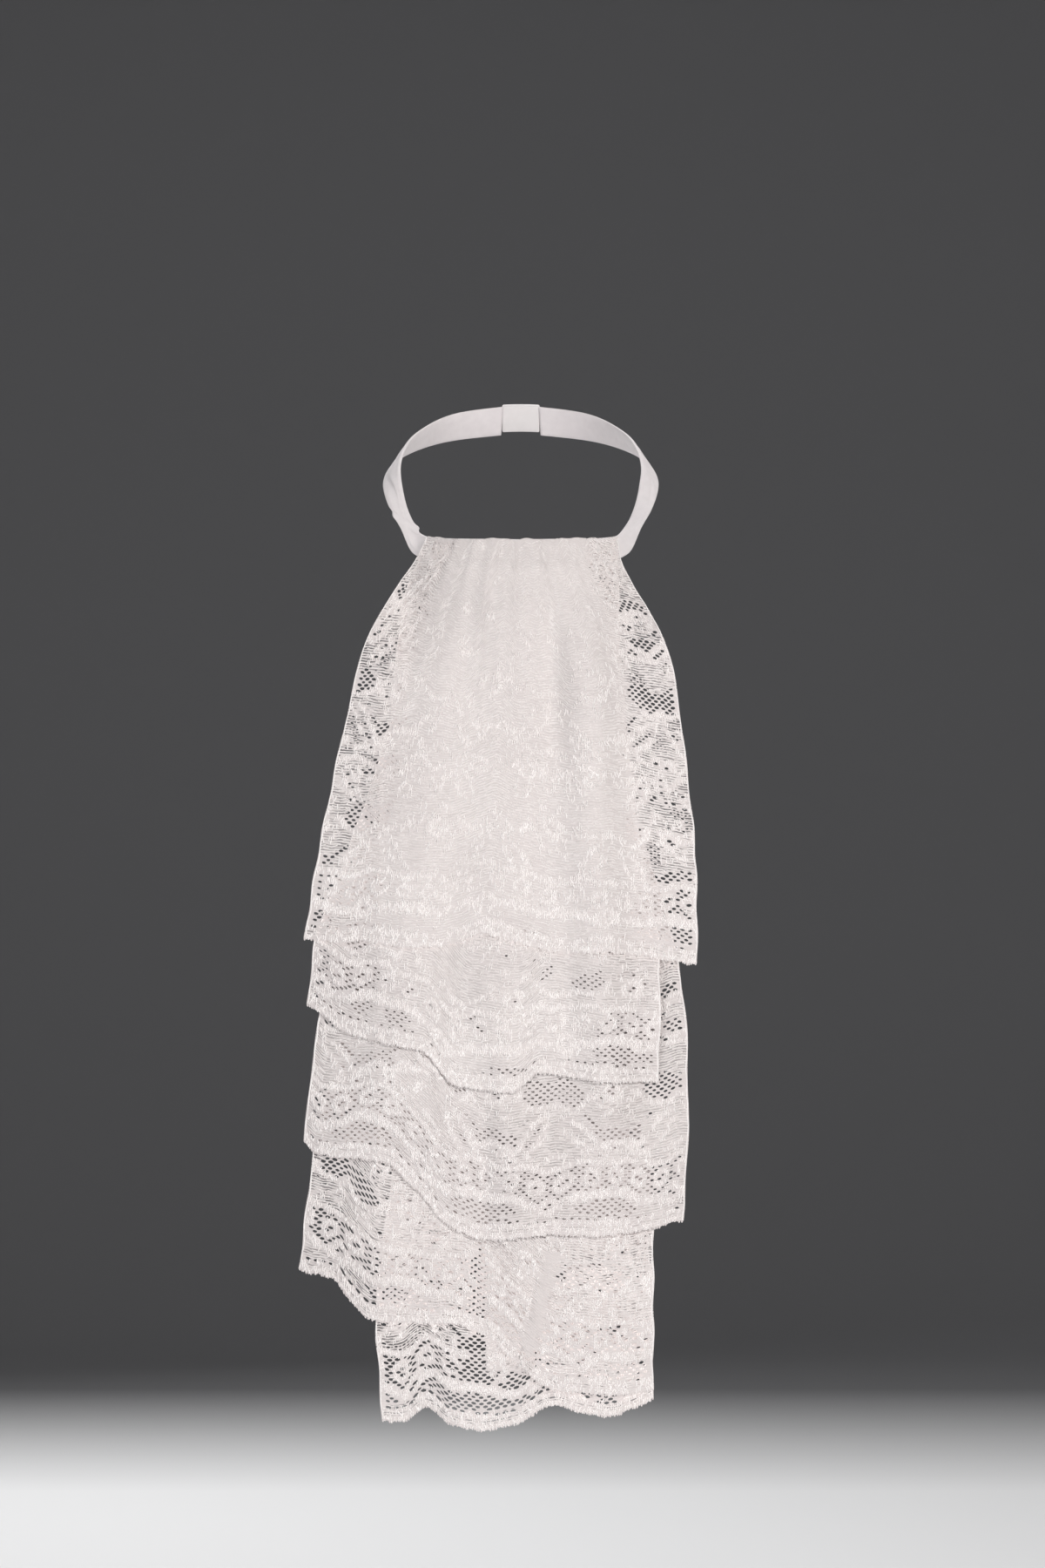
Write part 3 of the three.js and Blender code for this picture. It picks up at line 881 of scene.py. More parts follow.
    def lay_out_cells(self) -> NetCells:
        """Lay out the net's cells over the tier.

        Every cell is a hexagon that points up and down and shares its corners with its neighbours. Corners
        past the lace are held at its edges.

        Returns:
            The cells that lie on the lace.
        """
        width = self.shape.flat_width
        count = round(width / self.pattern.net_pitch)
        pitch, row = width / count, self.pattern.net_row
        point = row / 2 + self.pattern.net_slant
        rows = math.ceil(self.tallest() / row)
        pad = 2
        row_numbers, column_numbers = np.meshgrid(
            np.arange(-pad, rows + pad + 1), np.arange(-pad, count + pad + 1), indexing="ij")
        centre_u = pitch * (column_numbers + 0.5 * (row_numbers % 2))
        centre_w = row * row_numbers.astype(float)
        columns = centre_u.shape[1]

        corner_u = np.repeat(centre_u.ravel(), 2)
        corner_w = np.stack([centre_w - point, centre_w + point], axis=-1).ravel()
        held_u = np.clip(corner_u, 0, width)
        held_w = np.clip(corner_w, 0, self.flat_height(held_u / width))
        kept = (held_u == corner_u) & (held_w == corner_w)

        r, c = np.meshgrid(np.arange(1, rows + 2 * pad), np.arange(1, columns - 1), indexing="ij")
        odd = (r - pad) % 2

        def number(row_index: np.ndarray, column_index: np.ndarray, end: int) -> np.ndarray:
            """Number of a cell's lower (0) or upper (1) point."""
            return 2 * (row_index * columns + column_index) + end

        cells = np.stack([
            number(r - 1, c - 1 + odd, 1),
            number(r, c, 0),
            number(r - 1, c + odd, 1),
            number(r + 1, c + odd, 0),
            number(r, c, 1),
            number(r + 1, c - 1 + odd, 0),
        ], axis=-1).reshape(-1, 6)
        cell_u, cell_w = centre_u[r, c].ravel(), centre_w[r, c].ravel()

        around_u, around_w = held_u[cells], held_w[cells]
        area = 0.5 * np.abs(np.sum(
            around_u * np.roll(around_w, -1, axis=1) - around_w * np.roll(around_u, -1, axis=1), axis=1))
        present = area > self.least_cell * pitch * row
        cells, cell_u, cell_w = cells[present], cell_u[present], cell_w[present]
        used = np.unique(cells)
        renumber = np.full(held_u.shape, -1)
        renumber[used] = np.arange(len(used))
        return NetCells(
            held_u[used], held_w[used], renumber[cells], np.clip(cell_u, 0, width), np.maximum(cell_w, 0),
            kept[cells].all(axis=1))

    def net_masks(self, u: np.ndarray, w: np.ndarray) -> tuple[np.ndarray, np.ndarray]:
        """How close the lace looks at some places, with painted light and shade in it, and how sheer its
        laid ground is.

        Args:
            u: Places along the hem.
            w: Heights above the hem.

        Returns:
            The two masks, from 0 to 1.
        """
        lace = self.draw(u, w)
        over_tape = self.thinness(u, w)[1]
        # Closeness of the lace, with painted light and shade: the sheer net is painted greyer, and the
        # crowded gathers and the lace over the tape brighter
        dense_and_painted_light = np.clip(lace.fill, 0, 1) * 0.5 + lace.bright * 0.5
        dense_and_painted_light = np.minimum(dense_and_painted_light + 0.35 * self.crowding(u, w), 1)
        laid = (lace.bright < 0.5) & (lace.fill > 0.6) & (w > 1) & (over_tape < 0.5)
        sheer = np.where(laid, np.minimum(self.openness(u, w) ** 2, 1), 0.0)
        return np.maximum(dense_and_painted_light, over_tape), sheer

    def lay_out_picots(self) -> tuple[np.ndarray, np.ndarray]:
        """Lay out small uneven teeth along the hem.

        Returns:
            Places along the hem and heights of the corners, with a row for each tooth.
        """
        width = self.shape.flat_width
        middle = np.arange(self.picot_pitch / 2, width, self.picot_pitch)
        middle = middle + self.random.normal(0, 0.14, len(middle))
        tooth = np.array([(-0.4, 0.2), (-0.42, -0.5), (0.0, -1.0), (0.42, -0.5), (0.4, 0.2)])
        reach = self.picot_reach * self.random.uniform(0.3, 1.2, (len(middle), 1))
        u = np.clip(middle[:, None] + tooth[None, :, 0] * self.picot_pitch, 0, width)
        return u, reach * tooth[None, :, 1]

    def make_net(self) -> bpy.types.Object:
        """Build the net, whose cells are closed or have a hole, and the picots along its hem.

        Returns:
            The net's mesh object.
        """
        cells = self.lay_out_cells()
        lace = self.draw(cells.u, cells.w)
        spread = 1 + self.hole_spread * self.random.standard_normal(len(cells.u))
        size = np.minimum(np.sqrt(np.maximum(1 - lace.fill, 0)) * spread, self.largest_hole)
        inner = (cells.u > self.side_margin) & (cells.u < self.shape.flat_width - self.side_margin)
        pierced = cells.whole & inner & (cells.w > self.hem_margin) & (lace.fill < self.pattern.closed)

        hole_u = np.array([-0.86, 0, 0.86, 0.86, 0, -0.86]) * self.pattern.hole_half_width
        hole_w = np.array([-0.56, -1, -0.56, 0.56, 1, 0.56]) * self.pattern.hole_half_height
        ring_u = cells.u[pierced, None] + size[pierced, None] * hole_u
        ring_w = cells.w[pierced, None] + size[pierced, None] * hole_w
        tooth_u, tooth_w = self.lay_out_picots()
        flat_u = np.concatenate([cells.corner_u, ring_u.ravel(), tooth_u.ravel()])
        flat_w = np.concatenate([cells.corner_w, ring_w.ravel(), tooth_w.ravel()])

        dense_and_painted_light, sheer = self.net_masks(cells.corner_u, cells.corner_w)
        # Painted shade: the rims of the holes get a low density, so they are painted darker
        ring_density_and_shade = np.repeat(np.clip(lace.fill[pierced], 0, 1) * 0.35, 6)
        density = np.concatenate([dense_and_painted_light, ring_density_and_shade, np.full(tooth_u.size, 0.95)])
        sheer = np.concatenate([sheer, np.zeros(ring_u.size + tooth_u.size)])

        first_ring = len(cells.corner_u)
        ring = first_ring + np.arange(ring_u.size).reshape(-1, 6)
        teeth = first_ring + ring_u.size + np.arange(tooth_u.size).reshape(-1, 5)
        faces = cells.corners[~pierced].tolist()
        outer = cells.corners[pierced]
        for side in range(6):
            following = (side + 1) % 6
            quad = [outer[:, side], outer[:, following], ring[:, following], ring[:, side]]
            faces += np.stack(quad, axis=1).tolist()
        faces += teeth.tolist()

        points = self.place(flat_u, flat_w, self.raise_dense * density)
        net = make_object(f"net_{self.index + 1}", points, faces)
        uv = np.column_stack([flat_u, self.gathered(flat_u, flat_w)]) / 100
        write_layout(net, uv, density=density, sheer=sheer)
        net.data.validate()
        return net

    def scatter(self, across: float, up: float, staggered_rows: bool) -> tuple[np.ndarray, np.ndarray]:
        """Uneven places for stitches all over the tier.

        Args:
            across: Distance between stitches along the hem.
            up: Distance between stitches above each other.
            staggered_rows: Whether whole rows are moved aside, or else whole columns up.

        Returns:
            The places u and w.
        """
        width = self.shape.flat_width
        u, w = np.meshgrid(np.arange(across / 2, width, across), np.arange(-0.5 * up, self.tallest(), up))
        if staggered_rows:
            u = u + self.random.uniform(0, across, (u.shape[0], 1))
        else:
            w = w + self.random.uniform(0, up, (1, u.shape[1]))
        u = (u + self.random.normal(0, 0.1 * across, u.shape)).ravel()
        w = (w + self.random.normal(0, 0.1 * up, w.shape)).ravel()
        inside = (u > 1.0) & (u < width - 1.0) & (w > 0.15)
        u, w = u[inside], w[inside]
        lower = w < self.flat_height(u / width) - 1.8
        return u[lower], w[lower]

    def stitch_mesh(self, stitch: Stitch, first: int) -> tuple[np.ndarray, np.ndarray, list]:
        """Raised stitches of one kind, each a short ridge.

        Args:
            stitch: Kind of stitch.
            first: Number of the first vertex.

        Returns:
            Flat places, heights in front of the net, and faces.
        """
        u, w = self.scatter(stitch.across, stitch.up, stitch.laid)
        if stitch.laid:
            w = 2 * w - self.gathered(u, w)
            step = 0.5
            slope = (self.gathered(u, w) - self.gathered(u + step, w)) / step
        lace = self.draw(u, w)
        near = self.draw(u + self.random.normal(0, 0.9, len(u)), w + self.random.normal(0, 0.7, len(u)))
        solid = lace.fill >= self.pattern.closed
        chosen = solid & ((near.bright < 0.5) == stitch.laid) & (self.thinness(u, w)[1] < 0.5)
        chosen &= self.random.uniform(0, 1, len(u)) < stitch.share
        u, w = u[chosen], w[chosen]
        lean = self.random.normal(0, stitch.lean, len(u))
        half = 0.5 * stitch.length * self.random.uniform(0.72, 1.12, len(u))
        wide = 0.5 * stitch.width * self.random.uniform(0.8, 1.15, len(u))
        high = stitch.height * self.random.uniform(0.7, 1.2, len(u))
        if stitch.laid:
            ahead_u, ahead_w = np.ones_like(u), slope[chosen] + lean
        else:
            ahead_u, ahead_w = lean, np.ones_like(u)
        corners = np.array([(-1, -1), (1, -1), (1, 1), (-1, 1), (0, -0.5), (0, 0.5)])
        along = corners[:, 1] * half[:, None]
        aside = corners[:, 0] * wide[:, None]
        flat_u = u[:, None] + along * ahead_u[:, None] + aside * ahead_w[:, None]
        flat_w = w[:, None] + along * ahead_w[:, None] - aside * ahead_u[:, None]
        base = self.raise_dense * (0.4 if stitch.laid else 0.9)
        lift = np.where(corners[:, 0] == 0, 1.0, 0.0) * high[:, None] + base
        starts = first + 6 * np.arange(len(u))[:, None]
        faces = []
        for face in ((0, 1, 4), (1, 2, 5, 4), (2, 3, 5), (3, 0, 4, 5), (0, 3, 2, 1)):
            faces += (starts + np.array(face)[::-1]).tolist()
        return np.column_stack([flat_u.ravel(), flat_w.ravel()]), lift.ravel(), faces

    def cord_paths(self) -> list[np.ndarray]:
        """Lay out the cords along the two sides.

        Returns:
            Flat places along each cord.
        """
        side = np.arange(0.4, self.tallest(), 1.6)
        wander = 0.18 * np.sin(side / 2.3 + 2 * np.sin(side / 9.1))
        return [
            np.column_stack([0.5 + wander, side]),
            np.column_stack([self.shape.flat_width - 0.5 - wander, side]),
        ]

    def cord_mesh(self, first: int) -> tuple[np.ndarray, np.ndarray, list]:
        """Closed cords of three sides.

        Args:
            first: Number of the first vertex.

        Returns:
            Flat places, heights in front of the net, and faces.
        """
        flats, lifts, faces, total = [], [], [], first
        width = self.shape.flat_width
        for path in self.cord_paths():
            path = path[path[:, 1] < self.flat_height(path[:, 0] / width) - 0.6]
            ahead = np.gradient(path, axis=0)
            ahead = ahead / np.linalg.norm(ahead, axis=1, keepdims=True)
            aside = np.column_stack([-ahead[:, 1], ahead[:, 0]]) * self.cord_width / 2
            flats.append(np.stack([path - aside, path + aside, path], axis=1).reshape(-1, 2))
            foot = 0.6 * self.raise_dense
            lifts.append(np.tile([foot, foot, self.cord_height], len(path)))
            starts = total + 3 * np.arange(len(path) - 1)
            for near, far in ((0, 1), (1, 2), (2, 0)):
                faces += np.stack(
                    [starts + near, starts + near + 3, starts + far + 3, starts + far], axis=1).tolist()
            faces.append([total, total + 1, total + 2])
            end = total + 3 * (len(path) - 1)
            faces.append([end + 2, end + 1, end])
            total += 3 * len(path)
        return np.concatenate(flats), np.concatenate(lifts), faces

    def make_threads(self) -> bpy.types.Object:
        """Build the raised stitches and the cords along the edges.

        Returns:
            The threads' mesh object.
        """
        upright = self.stitch_mesh(self.upright, 0)
        laid = self.stitch_mesh(self.laid, len(upright[0]))
        cords = self.cord_mesh(len(upright[0]) + len(laid[0]))
        flat = np.concatenate([upright[0], laid[0], cords[0]])
        flat[:, 0] = np.clip(flat[:, 0], 0, self.shape.flat_width)
        flat[:, 1] = np.minimum(flat[:, 1], self.flat_height(flat[:, 0] / self.shape.flat_width) - 0.4)
        points = self.place(flat[:, 0], flat[:, 1], np.concatenate([upright[1], laid[1], cords[1]]))
        faces = upright[2] + laid[2] + cords[2]
        threads = make_object(f"threads_{self.index + 1}", points, faces, smooth_faces=False)
        # Painted shade: the laid stitches get only part of the thread's lit colour
        shine = [np.ones(len(upright[0])), np.full(len(laid[0]), self.laid_shine), np.ones(len(cords[0]))]
        write_layout(threads, flat / 100, shine=np.concatenate(shine))
        return threads

    def build(self, net_finish: bpy.types.Material, thread_finish: bpy.types.Material) -> None:
        """Args:
            net_finish: Material of the net.
            thread_finish: Material of the raised threads.
        """
        net = self.make_net()
        threads = self.make_threads()
        # The other nets' shadows draw dark lines under the hems
        net.visible_shadow = self.index in self.shadow_tiers
        net.data.materials.append(net_finish)
        threads.data.materials.append(thread_finish)
        for piece in (net, threads):
            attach(piece, BODY)
        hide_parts(self.shape.node)
        length = float(self.flat_height(np.linspace(0, 1, 50)).mean()) * MM
        log.info("%s: %d faces in the net, %d in the threads", self.shape.node,
                 len(net.data.polygons), len(threads.data.polygons))


@dataclass
class NeckBand:
    """The plain cloth band round the neck, with the soft creases of worn cloth."""

    drape: Drape
    wall: float = 1.6 * MM
    stations: int = 300
    face_rows: int = 19
    crease_height: float = 1.1 * MM
    clasp_half: float = 9 * MM
    flat: tuple[float, float] = (430 * MM, 15 * MM)

    def surface(self, turn: np.ndarray, share: np.ndarray, out: np.ndarray) -> np.ndarray:
        """Points of the band.

        Args:
            turn: Degrees round the neck from the front.
            share: How far down the face, from its upper edge (0) to its lower edge (1).
            out: Distance outside the band's outer face.

        Returns:
            Points in metres.
        """
        drape = self.drape
        a = drape.lower_a - drape.band_splay * (1 - share) + out
        b = drape.lower_b - drape.band_splay * (1 - share) + out
        angle = np.radians(turn)
        upper = drape.front_z + drape.band_rise * BAND_UPPER.at(np.abs(turn))
        lower = drape.front_z - drape.band_height + drape.band_rise * BAND_LOWER.at(np.abs(turn))
        return np.column_stack([a * np.sin(angle), -b * np.cos(angle), blend(upper, lower, share)])

    def creases(self, turn: np.ndarray, share: np.ndarray) -> np.ndarray:
        """Creases at the sides, mostly lengthwise, with beads at the stitched edges.

        Args:
            turn: Degrees round the neck from the front.
            share: How far down the face.

        Returns:
            Heights of the creases.
        """
        around = np.radians(turn)
        side = 0.12 + 0.88 * np.exp(-(((np.abs(turn) - 68) / 30) ** 2))
        middle = 0.15 + 0.85 * np.sin(np.clip(share, 0, 1) * np.pi)
        drag = np.sin(2 * np.pi * (1.3 * share + 0.12 * np.sin(around * 9)) + around * 4)
        slant = np.sin(around * 23 + share * 4.5) * np.sin(around * 7 + 1)
        crisp = np.exp(-(((share - 0.5 - 0.3 * np.sin(around * 6)) / 0.09) ** 2))
        bead = np.exp(-((share / 0.09) ** 2)) + np.exp(-(((1 - share) / 0.09) ** 2))
        worn = self.crease_height * side * middle * (0.42 * drag + 0.3 * slant + 0.45 * crisp)
        return worn + 0.18 * MM * bead

    def kink(self, turn: np.ndarray, share: np.ndarray) -> np.ndarray:
        """The small fold that breaks the band on the wearer's right.

        Args:
            turn: Degrees round the neck from the front.
            share: How far down the face.

        Returns:
            Heights of the dent and of the ridge beside it.
        """
        away = (turn + 64 + 11 * (share - 0.5)) / 1.7
        dent = -1.2 * MM * np.exp(-(away**2))
        ridge = 0.9 * MM * np.exp(-((away - 2.0) ** 2))
        return (dent + ridge) * (1 - 0.45 * share)

    def build(self, finish: bpy.types.Material) -> bpy.types.Object:
        """Args:
            finish: Material of the cloth.

        Returns:
            The band's mesh object.
        """
        gap = math.degrees(self.clasp_half / (self.drape.lower_b - self.drape.band_splay))
        turns = np.linspace(-180 + gap, 180 - gap, self.stations)
        down = np.linspace(0, 1, self.face_rows)
        edge = np.array([0.3, 0.7])
        round_edge = 0.035 * np.sin(edge * np.pi)
        shares = np.concatenate([down, 1 + round_edge, down[::-1], -round_edge])
        depth = np.concatenate([
            np.zeros(self.face_rows), -edge * self.wall, np.full(self.face_rows, -self.wall),
            -(1 - edge) * self.wall])
        sides = len(shares)
        turn = np.repeat(turns, sides)
        share = np.tile(shares, self.stations)
        out = np.tile(depth, self.stations)
        puff = 0.35 * MM * np.sin(np.clip(share, 0, 1) * np.pi) * np.where(out > -self.wall / 2, 1, -1)
        under_lace = smooth((np.abs(turn) - 44) / 10)
        moved = (self.creases(turn, share) + self.kink(turn, share) + puff) * under_lace
        end_ease = smooth((180 - gap - np.abs(turn)) / 4)
        points = self.surface(turn, share, out + moved * end_ease)
        faces = []
        for station in range(self.stations - 1):
            for side in range(sides):
                following = (side + 1) % sides
                near, far = station * sides, (station + 1) * sides
                faces.append([near + side, near + following, far + following, far + side])
        faces.append(list(range(sides))[::-1])
        faces.append([(self.stations - 1) * sides + side for side in range(sides)])
        band = make_object("band", points, faces)
        around = np.radians(turn) * self.drape.lower_b / (100 * MM)
        write_layout(band, np.column_stack([around, share * self.flat[1] / (100 * MM)]))
        band.data.materials.append(finish)
        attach(band, BODY)
        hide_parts("neck_band")
        return band


@dataclass
class BackingStay:
    """The plain strip behind the tiers and the folded tape on its slanted edge."""

    drape: Drape
    half_width: float = 28 * MM
    drop: float = 391 * MM
    wall: float = 0.7 * MM
    tape_width: float = 6 * MM
    tape_wall: float = 1.1 * MM
    tape_from: float = 0.74
    stay_relief: float = 0.45 * MM
    tape_relief: float = 1.1 * MM
    stay_flat: tuple[float, float] = (56 * MM, 380 * MM)
    stay_area: float = 0.0190
    tape_flat: tuple[float, float] = (12 * MM, 100 * MM)
    tape_area: float = 0.0007

    def __post_init__(self) -> None:
        """Set out the stay's outline."""
        rows = [0, 0.5, 0.7, 0.855, 1]
        self.left = Curve(rows, [-1, -0.9, -0.66, -0.58, -0.58])
        self.right = Curve(rows, [1, 1, 0.95, 0.64, 0.12])

    def wall_mesh(
        self, name: str, columns: int, rows: int, wall: float,
        place: Callable[[np.ndarray, np.ndarray], np.ndarray],
    ) -> bpy.types.Object:
        """A closed cloth wall with thinner sides.

        Args:
            name: Name of the piece.
            columns: Steps across.
            rows: Steps down.
            wall: Thickness.
            place: Gives middle points from shares across and down.

        Returns:
            The mesh object.
        """
        across = np.linspace(0, 1, columns + 1)
        section_s = np.concatenate([across, across[::-1]])
        thin = np.ones(columns + 1)
        thin[[0, -1]] = 0.35
        section_out = np.concatenate([thin, -thin[::-1]]) * wall / 2
        sides = len(section_s)
        s = np.tile(section_s, rows + 1)
        t = np.repeat(np.linspace(0, 1, rows + 1), sides)
        out = np.tile(section_out, rows + 1)
        points = place(s, t)
        points[:, 1] -= out
        faces = []
        for row in range(rows):
            for side in range(sides):
                following = (side + 1) % sides
                near, far = row * sides, (row + 1) * sides
                faces.append([near + side, far + side, far + following, near + following])
        faces.append(list(range(sides)))
        faces.append([rows * sides + side for side in range(sides)][::-1])
        piece = make_object(name, points, faces)
        write_layout(piece, np.column_stack([s * 0.5, t * 3.8]))
        return piece

    def tape_middle(self, z: np.ndarray) -> np.ndarray:
        """Place across of the tape's middle at some heights."""
        along = (self.drape.front_z - self.drape.band_height - z) / (self.drop - self.drape.band_height)
        return self.half_width * self.right.at(along) - self.tape_width / 2

    def relief(self, x: np.ndarray, z: np.ndarray) -> np.ndarray:
        """How far the end of the stay and its tape push the lace on them forward.

        Args:
            x: Places across.
            z: Heights.

        Returns:
            Distances towards the front.
        """
        edge = self.half_width * float(self.left.at(1.0))
        end = self.drape.front_z - self.drop
        on_stay = smooth((x - edge) / (0.9 * MM)) * smooth((self.tape_middle(z) + 4 * MM - x) / MM)
        across = np.abs(x - self.tape_middle(z))
        on_tape = 1 - smooth((across - 2.6 * MM) / (0.6 * MM)) - 0.5 * np.exp(-((across / (0.6 * MM)) ** 2))
        shown = smooth((z - end) / (2 * MM)) * (1 - smooth((z - end - 48 * MM) / (12 * MM)))
        return (self.stay_relief * on_stay + self.tape_relief * on_tape) * shown

    def stay_place(self, s: np.ndarray, t: np.ndarray) -> np.ndarray:
        """Middle of the stay, softly rippled.

        Args:
            s: Shares of the way across.
            t: Shares of the way down.

        Returns:
            Points in metres.
        """
        x = self.half_width * blend(self.left.at(t), self.right.at(t), s)
        top = self.drape.band_front(x, np.ones_like(x))[1] - self.drape.seam_gap
        z = blend(top, self.drape.front_z - self.drop, t)
        ripple = 0.35 * MM * np.sin(z / (17 * MM) + x / (9 * MM)) * np.sin(t * np.pi)
        return np.column_stack([x, self.drape.seat(x, z) + 0.6 * MM + ripple, z])

    def tape_place(self, s: np.ndarray, t: np.ndarray) -> np.ndarray:
        """Middle of the tape, with a crown along it.

        Args:
            s: Shares of the way across.
            t: Shares of the way down.

        Returns:
            Points in metres.
        """
        along = blend(self.tape_from, 1.0, t)
        edge = self.half_width * self.right.at(along)
        z = blend(self.drape.front_z - self.drape.band_height, self.drape.front_z - self.drop, along)
        x = edge - self.tape_width * (1 - s)
        crown = 0.25 * MM * np.cos((s - 0.5) * 2 * np.pi)
        forward = self.drape.seam_gap + self.tape_wall / 2 + crown
        return np.column_stack([x, self.drape.seat(x, z) - forward, z])

    def build(self, cloth: bpy.types.Material, tape_finish: bpy.types.Material) -> None:
        """Args:
            cloth: Material of the stay.
            tape_finish: Material of the tape.
        """
        stay = self.wall_mesh("stay", 14, 120, self.wall, self.stay_place)
        tape = self.wall_mesh("tape", 8, 60, self.tape_wall * 0.7, self.tape_place)
        for piece, finish, slot, node in (
            (stay, cloth, "stay_cloth", "backing_stay"),
            (tape, tape_finish, "tape", "stay_tape"),
        ):
            piece.data.materials.append(finish)
            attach(piece, BODY)
            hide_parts(node)


@dataclass
class BackClosure:
    """The plain closure that joins the band's ends behind the neck."""

    drape: Drape
    wall: float = 2.8 * MM
    rounding: float = 0.8 * MM
    fit: float = 0.97

    def build(self, finish: bpy.types.Material) -> bpy.types.Object:
        """Model the closure as a rounded, bowed tab that leans as the band does.

        Args:
            finish: Material of the closure.

        Returns:
            The closure's mesh object.
        """
        low, high = (np.array(corner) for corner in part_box("back_clasp"))
        middle = (low + high) / 2
        bpy.ops.object.select_all(action="DESELECT")
        bpy.ops.mesh.primitive_cube_add(size=1, location=(0, 0, 0))
        tab = bpy.context.object
        tab.name = "closure"
        length = high[0] - low[0]
        face = math.hypot(self.drape.band_height, self.drape.band_splay)
        bpy.ops.object.mode_set(mode="EDIT")
        bpy.ops.mesh.select_all(action="SELECT")
        bpy.ops.transform.resize(value=(length * self.fit, self.wall, face * self.fit))
        bpy.ops.mesh.bevel(offset=self.rounding, segments=3, affect="EDGES")
        bpy.ops.mesh.select_all(action="SELECT")
        bpy.ops.mesh.bisect(plane_co=(0, 0, 0), plane_no=(1, 0, 0))
        for side in (-1, 1):
            bpy.ops.mesh.select_all(action="SELECT")
            bpy.ops.mesh.bisect(plane_co=(side * length / 4, 0, 0), plane_no=(1, 0, 0))
        bpy.ops.object.mode_set(mode="OBJECT")
        lean = math.atan2(self.drape.band_splay, self.drape.band_height)
        turn_cos, turn_sin = math.cos(lean), math.sin(lean)
        for vertex in tab.data.vertices:
            x, y, z = vertex.co
            bowed = y - x * x / (2 * self.drape.lower_b)
            vertex.co = (
                x + middle[0],
                middle[1] + bowed * turn_cos - z * turn_sin,
                middle[2] + bowed * turn_sin + z * turn_cos,
            )
        bpy.ops.object.shade_smooth_by_angle(angle=math.radians(40))
        tab.data.materials.append(finish)
        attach(tab, BODY)
        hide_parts("back_clasp")
        return tab


class Weave(Enum):
    """Ways in which a cloth's threads cross."""

    PLAIN = "plain"
    TAPE = "tape"


def new_group(
    name: str, inputs: list[tuple[str, str, object]], outputs: list[tuple[str, str]],
) -> bpy.types.NodeTree:
    """Start a shader node group.

    Args:
        name: Name of the group.
        inputs: Name, socket type and default of each input.
        outputs: Name and socket type of each output.

    Returns:
        The empty group with its group input and output nodes.
    """
    group = bpy.data.node_groups.new(name, "ShaderNodeTree")
    for socket_name, kind, default in inputs:
        socket = group.interface.new_socket(name=socket_name, in_out="INPUT", socket_type=kind)
        if default is not None:
            socket.default_value = default
    for socket_name, kind in outputs:
        group.interface.new_socket(name=socket_name, in_out="OUTPUT", socket_type=kind)
    group.nodes.new("NodeGroupInput").name = "in"
    group.nodes.new("NodeGroupOutput").name = "out"
    return group


@dataclass
class Wiring:
    """A short way to add and join nodes in one tree."""

    tree: bpy.types.NodeTree

    def node(self, kind: str, **values: object) -> bpy.types.Node:
        """Add a node and set its properties.

        Args:
            kind: Type of the node.
            **values: Its properties by name.

        Returns:
            The new node.
        """
        made = self.tree.nodes.new(kind)
        for key, value in values.items():
            setattr(made, key, value)
        return made

    def feed(self, target: bpy.types.NodeSocket, source: object) -> None:
        """Join a socket to a source socket, or set its value.

        Args:
            target: The input socket.
            source: An output socket, a number or a colour.
        """
        if isinstance(source, bpy.types.NodeSocket):
            self.tree.links.new(source, target)
        else:
            target.default_value = source

    def math(self, operation: str, first: object, second: object = 0.0) -> bpy.types.NodeSocket:
        """Add a Math node.

        Args:
            operation: Its operation.
            first: Its first value or source.
            second: Its second value or source.

        Returns:
            The result.
        """
        made = self.node("ShaderNodeMath", operation=operation)
        self.feed(made.inputs[0], first)
        self.feed(made.inputs[1], second)
        return made.outputs[0]

    def mix(self, share: object, first: object, second: object) -> bpy.types.NodeSocket:
        """Mix two colours.

        Args:
            share: Share of the second colour.
            first: The first colour or its source.
            second: The second colour or its source.

        Returns:
            The mixed colour.
        """
        made = self.node("ShaderNodeMix", data_type="RGBA")
        self.feed(made.inputs["Factor"], share)
        self.feed(made.inputs["A"], first)
        self.feed(made.inputs["B"], second)
        return next(socket for socket in made.outputs if socket.type == "RGBA")

    def noise(self, vector: object, scale: float, detail: float = 3.0) -> bpy.types.NodeSocket:
        """Add a noise texture.

        Args:
            vector: Source of its place.
            scale: Its scale.
            detail: Its detail.

        Returns:
            The noise, about 0.5 in the middle.
        """
        made = self.node("ShaderNodeTexNoise")
        self.feed(made.inputs["Vector"], vector)
        made.inputs["Scale"].default_value = scale
        made.inputs["Detail"].default_value = detail
        return made.outputs["Fac"]


def make_tone_group() -> bpy.types.NodeTree:
    """Slow and quick changes of tone that every material of the jabot has.

    Returns:
        The node group.
    """
    group = new_group(
        "cloth_tone",
        [("Color", "NodeSocketColor", (0.8, 0.8, 0.8, 1)), ("Shade", "NodeSocketColor", (0.6, 0.6, 0.6, 1)),
         ("Amount", "NodeSocketFloat", 0.4)],
        [("Color", "NodeSocketColor"), ("Mask", "NodeSocketFloat")])
    wiring = Wiring(group)
    source, sink = group.nodes["in"], group.nodes["out"]
    place = wiring.node("ShaderNodeTexCoord").outputs["Object"]
    slow = wiring.noise(place, 14.0, 4.0)
    quick = wiring.noise(place, 260.0, 2.0)
    both = wiring.math("ADD", wiring.math("MULTIPLY", slow, 0.65), wiring.math("MULTIPLY", quick, 0.35))
    spread = wiring.node("ShaderNodeMapRange")
    wiring.feed(spread.inputs["Value"], both)
    spread.inputs["From Min"].default_value = 0.34
    spread.inputs["From Max"].default_value = 0.66
    mask = wiring.math("MULTIPLY", spread.outputs["Result"], source.outputs["Amount"])
    wiring.feed(sink.inputs["Color"], wiring.mix(mask, source.outputs["Color"], source.outputs["Shade"]))
    wiring.feed(sink.inputs["Mask"], spread.outputs["Result"])
    return group


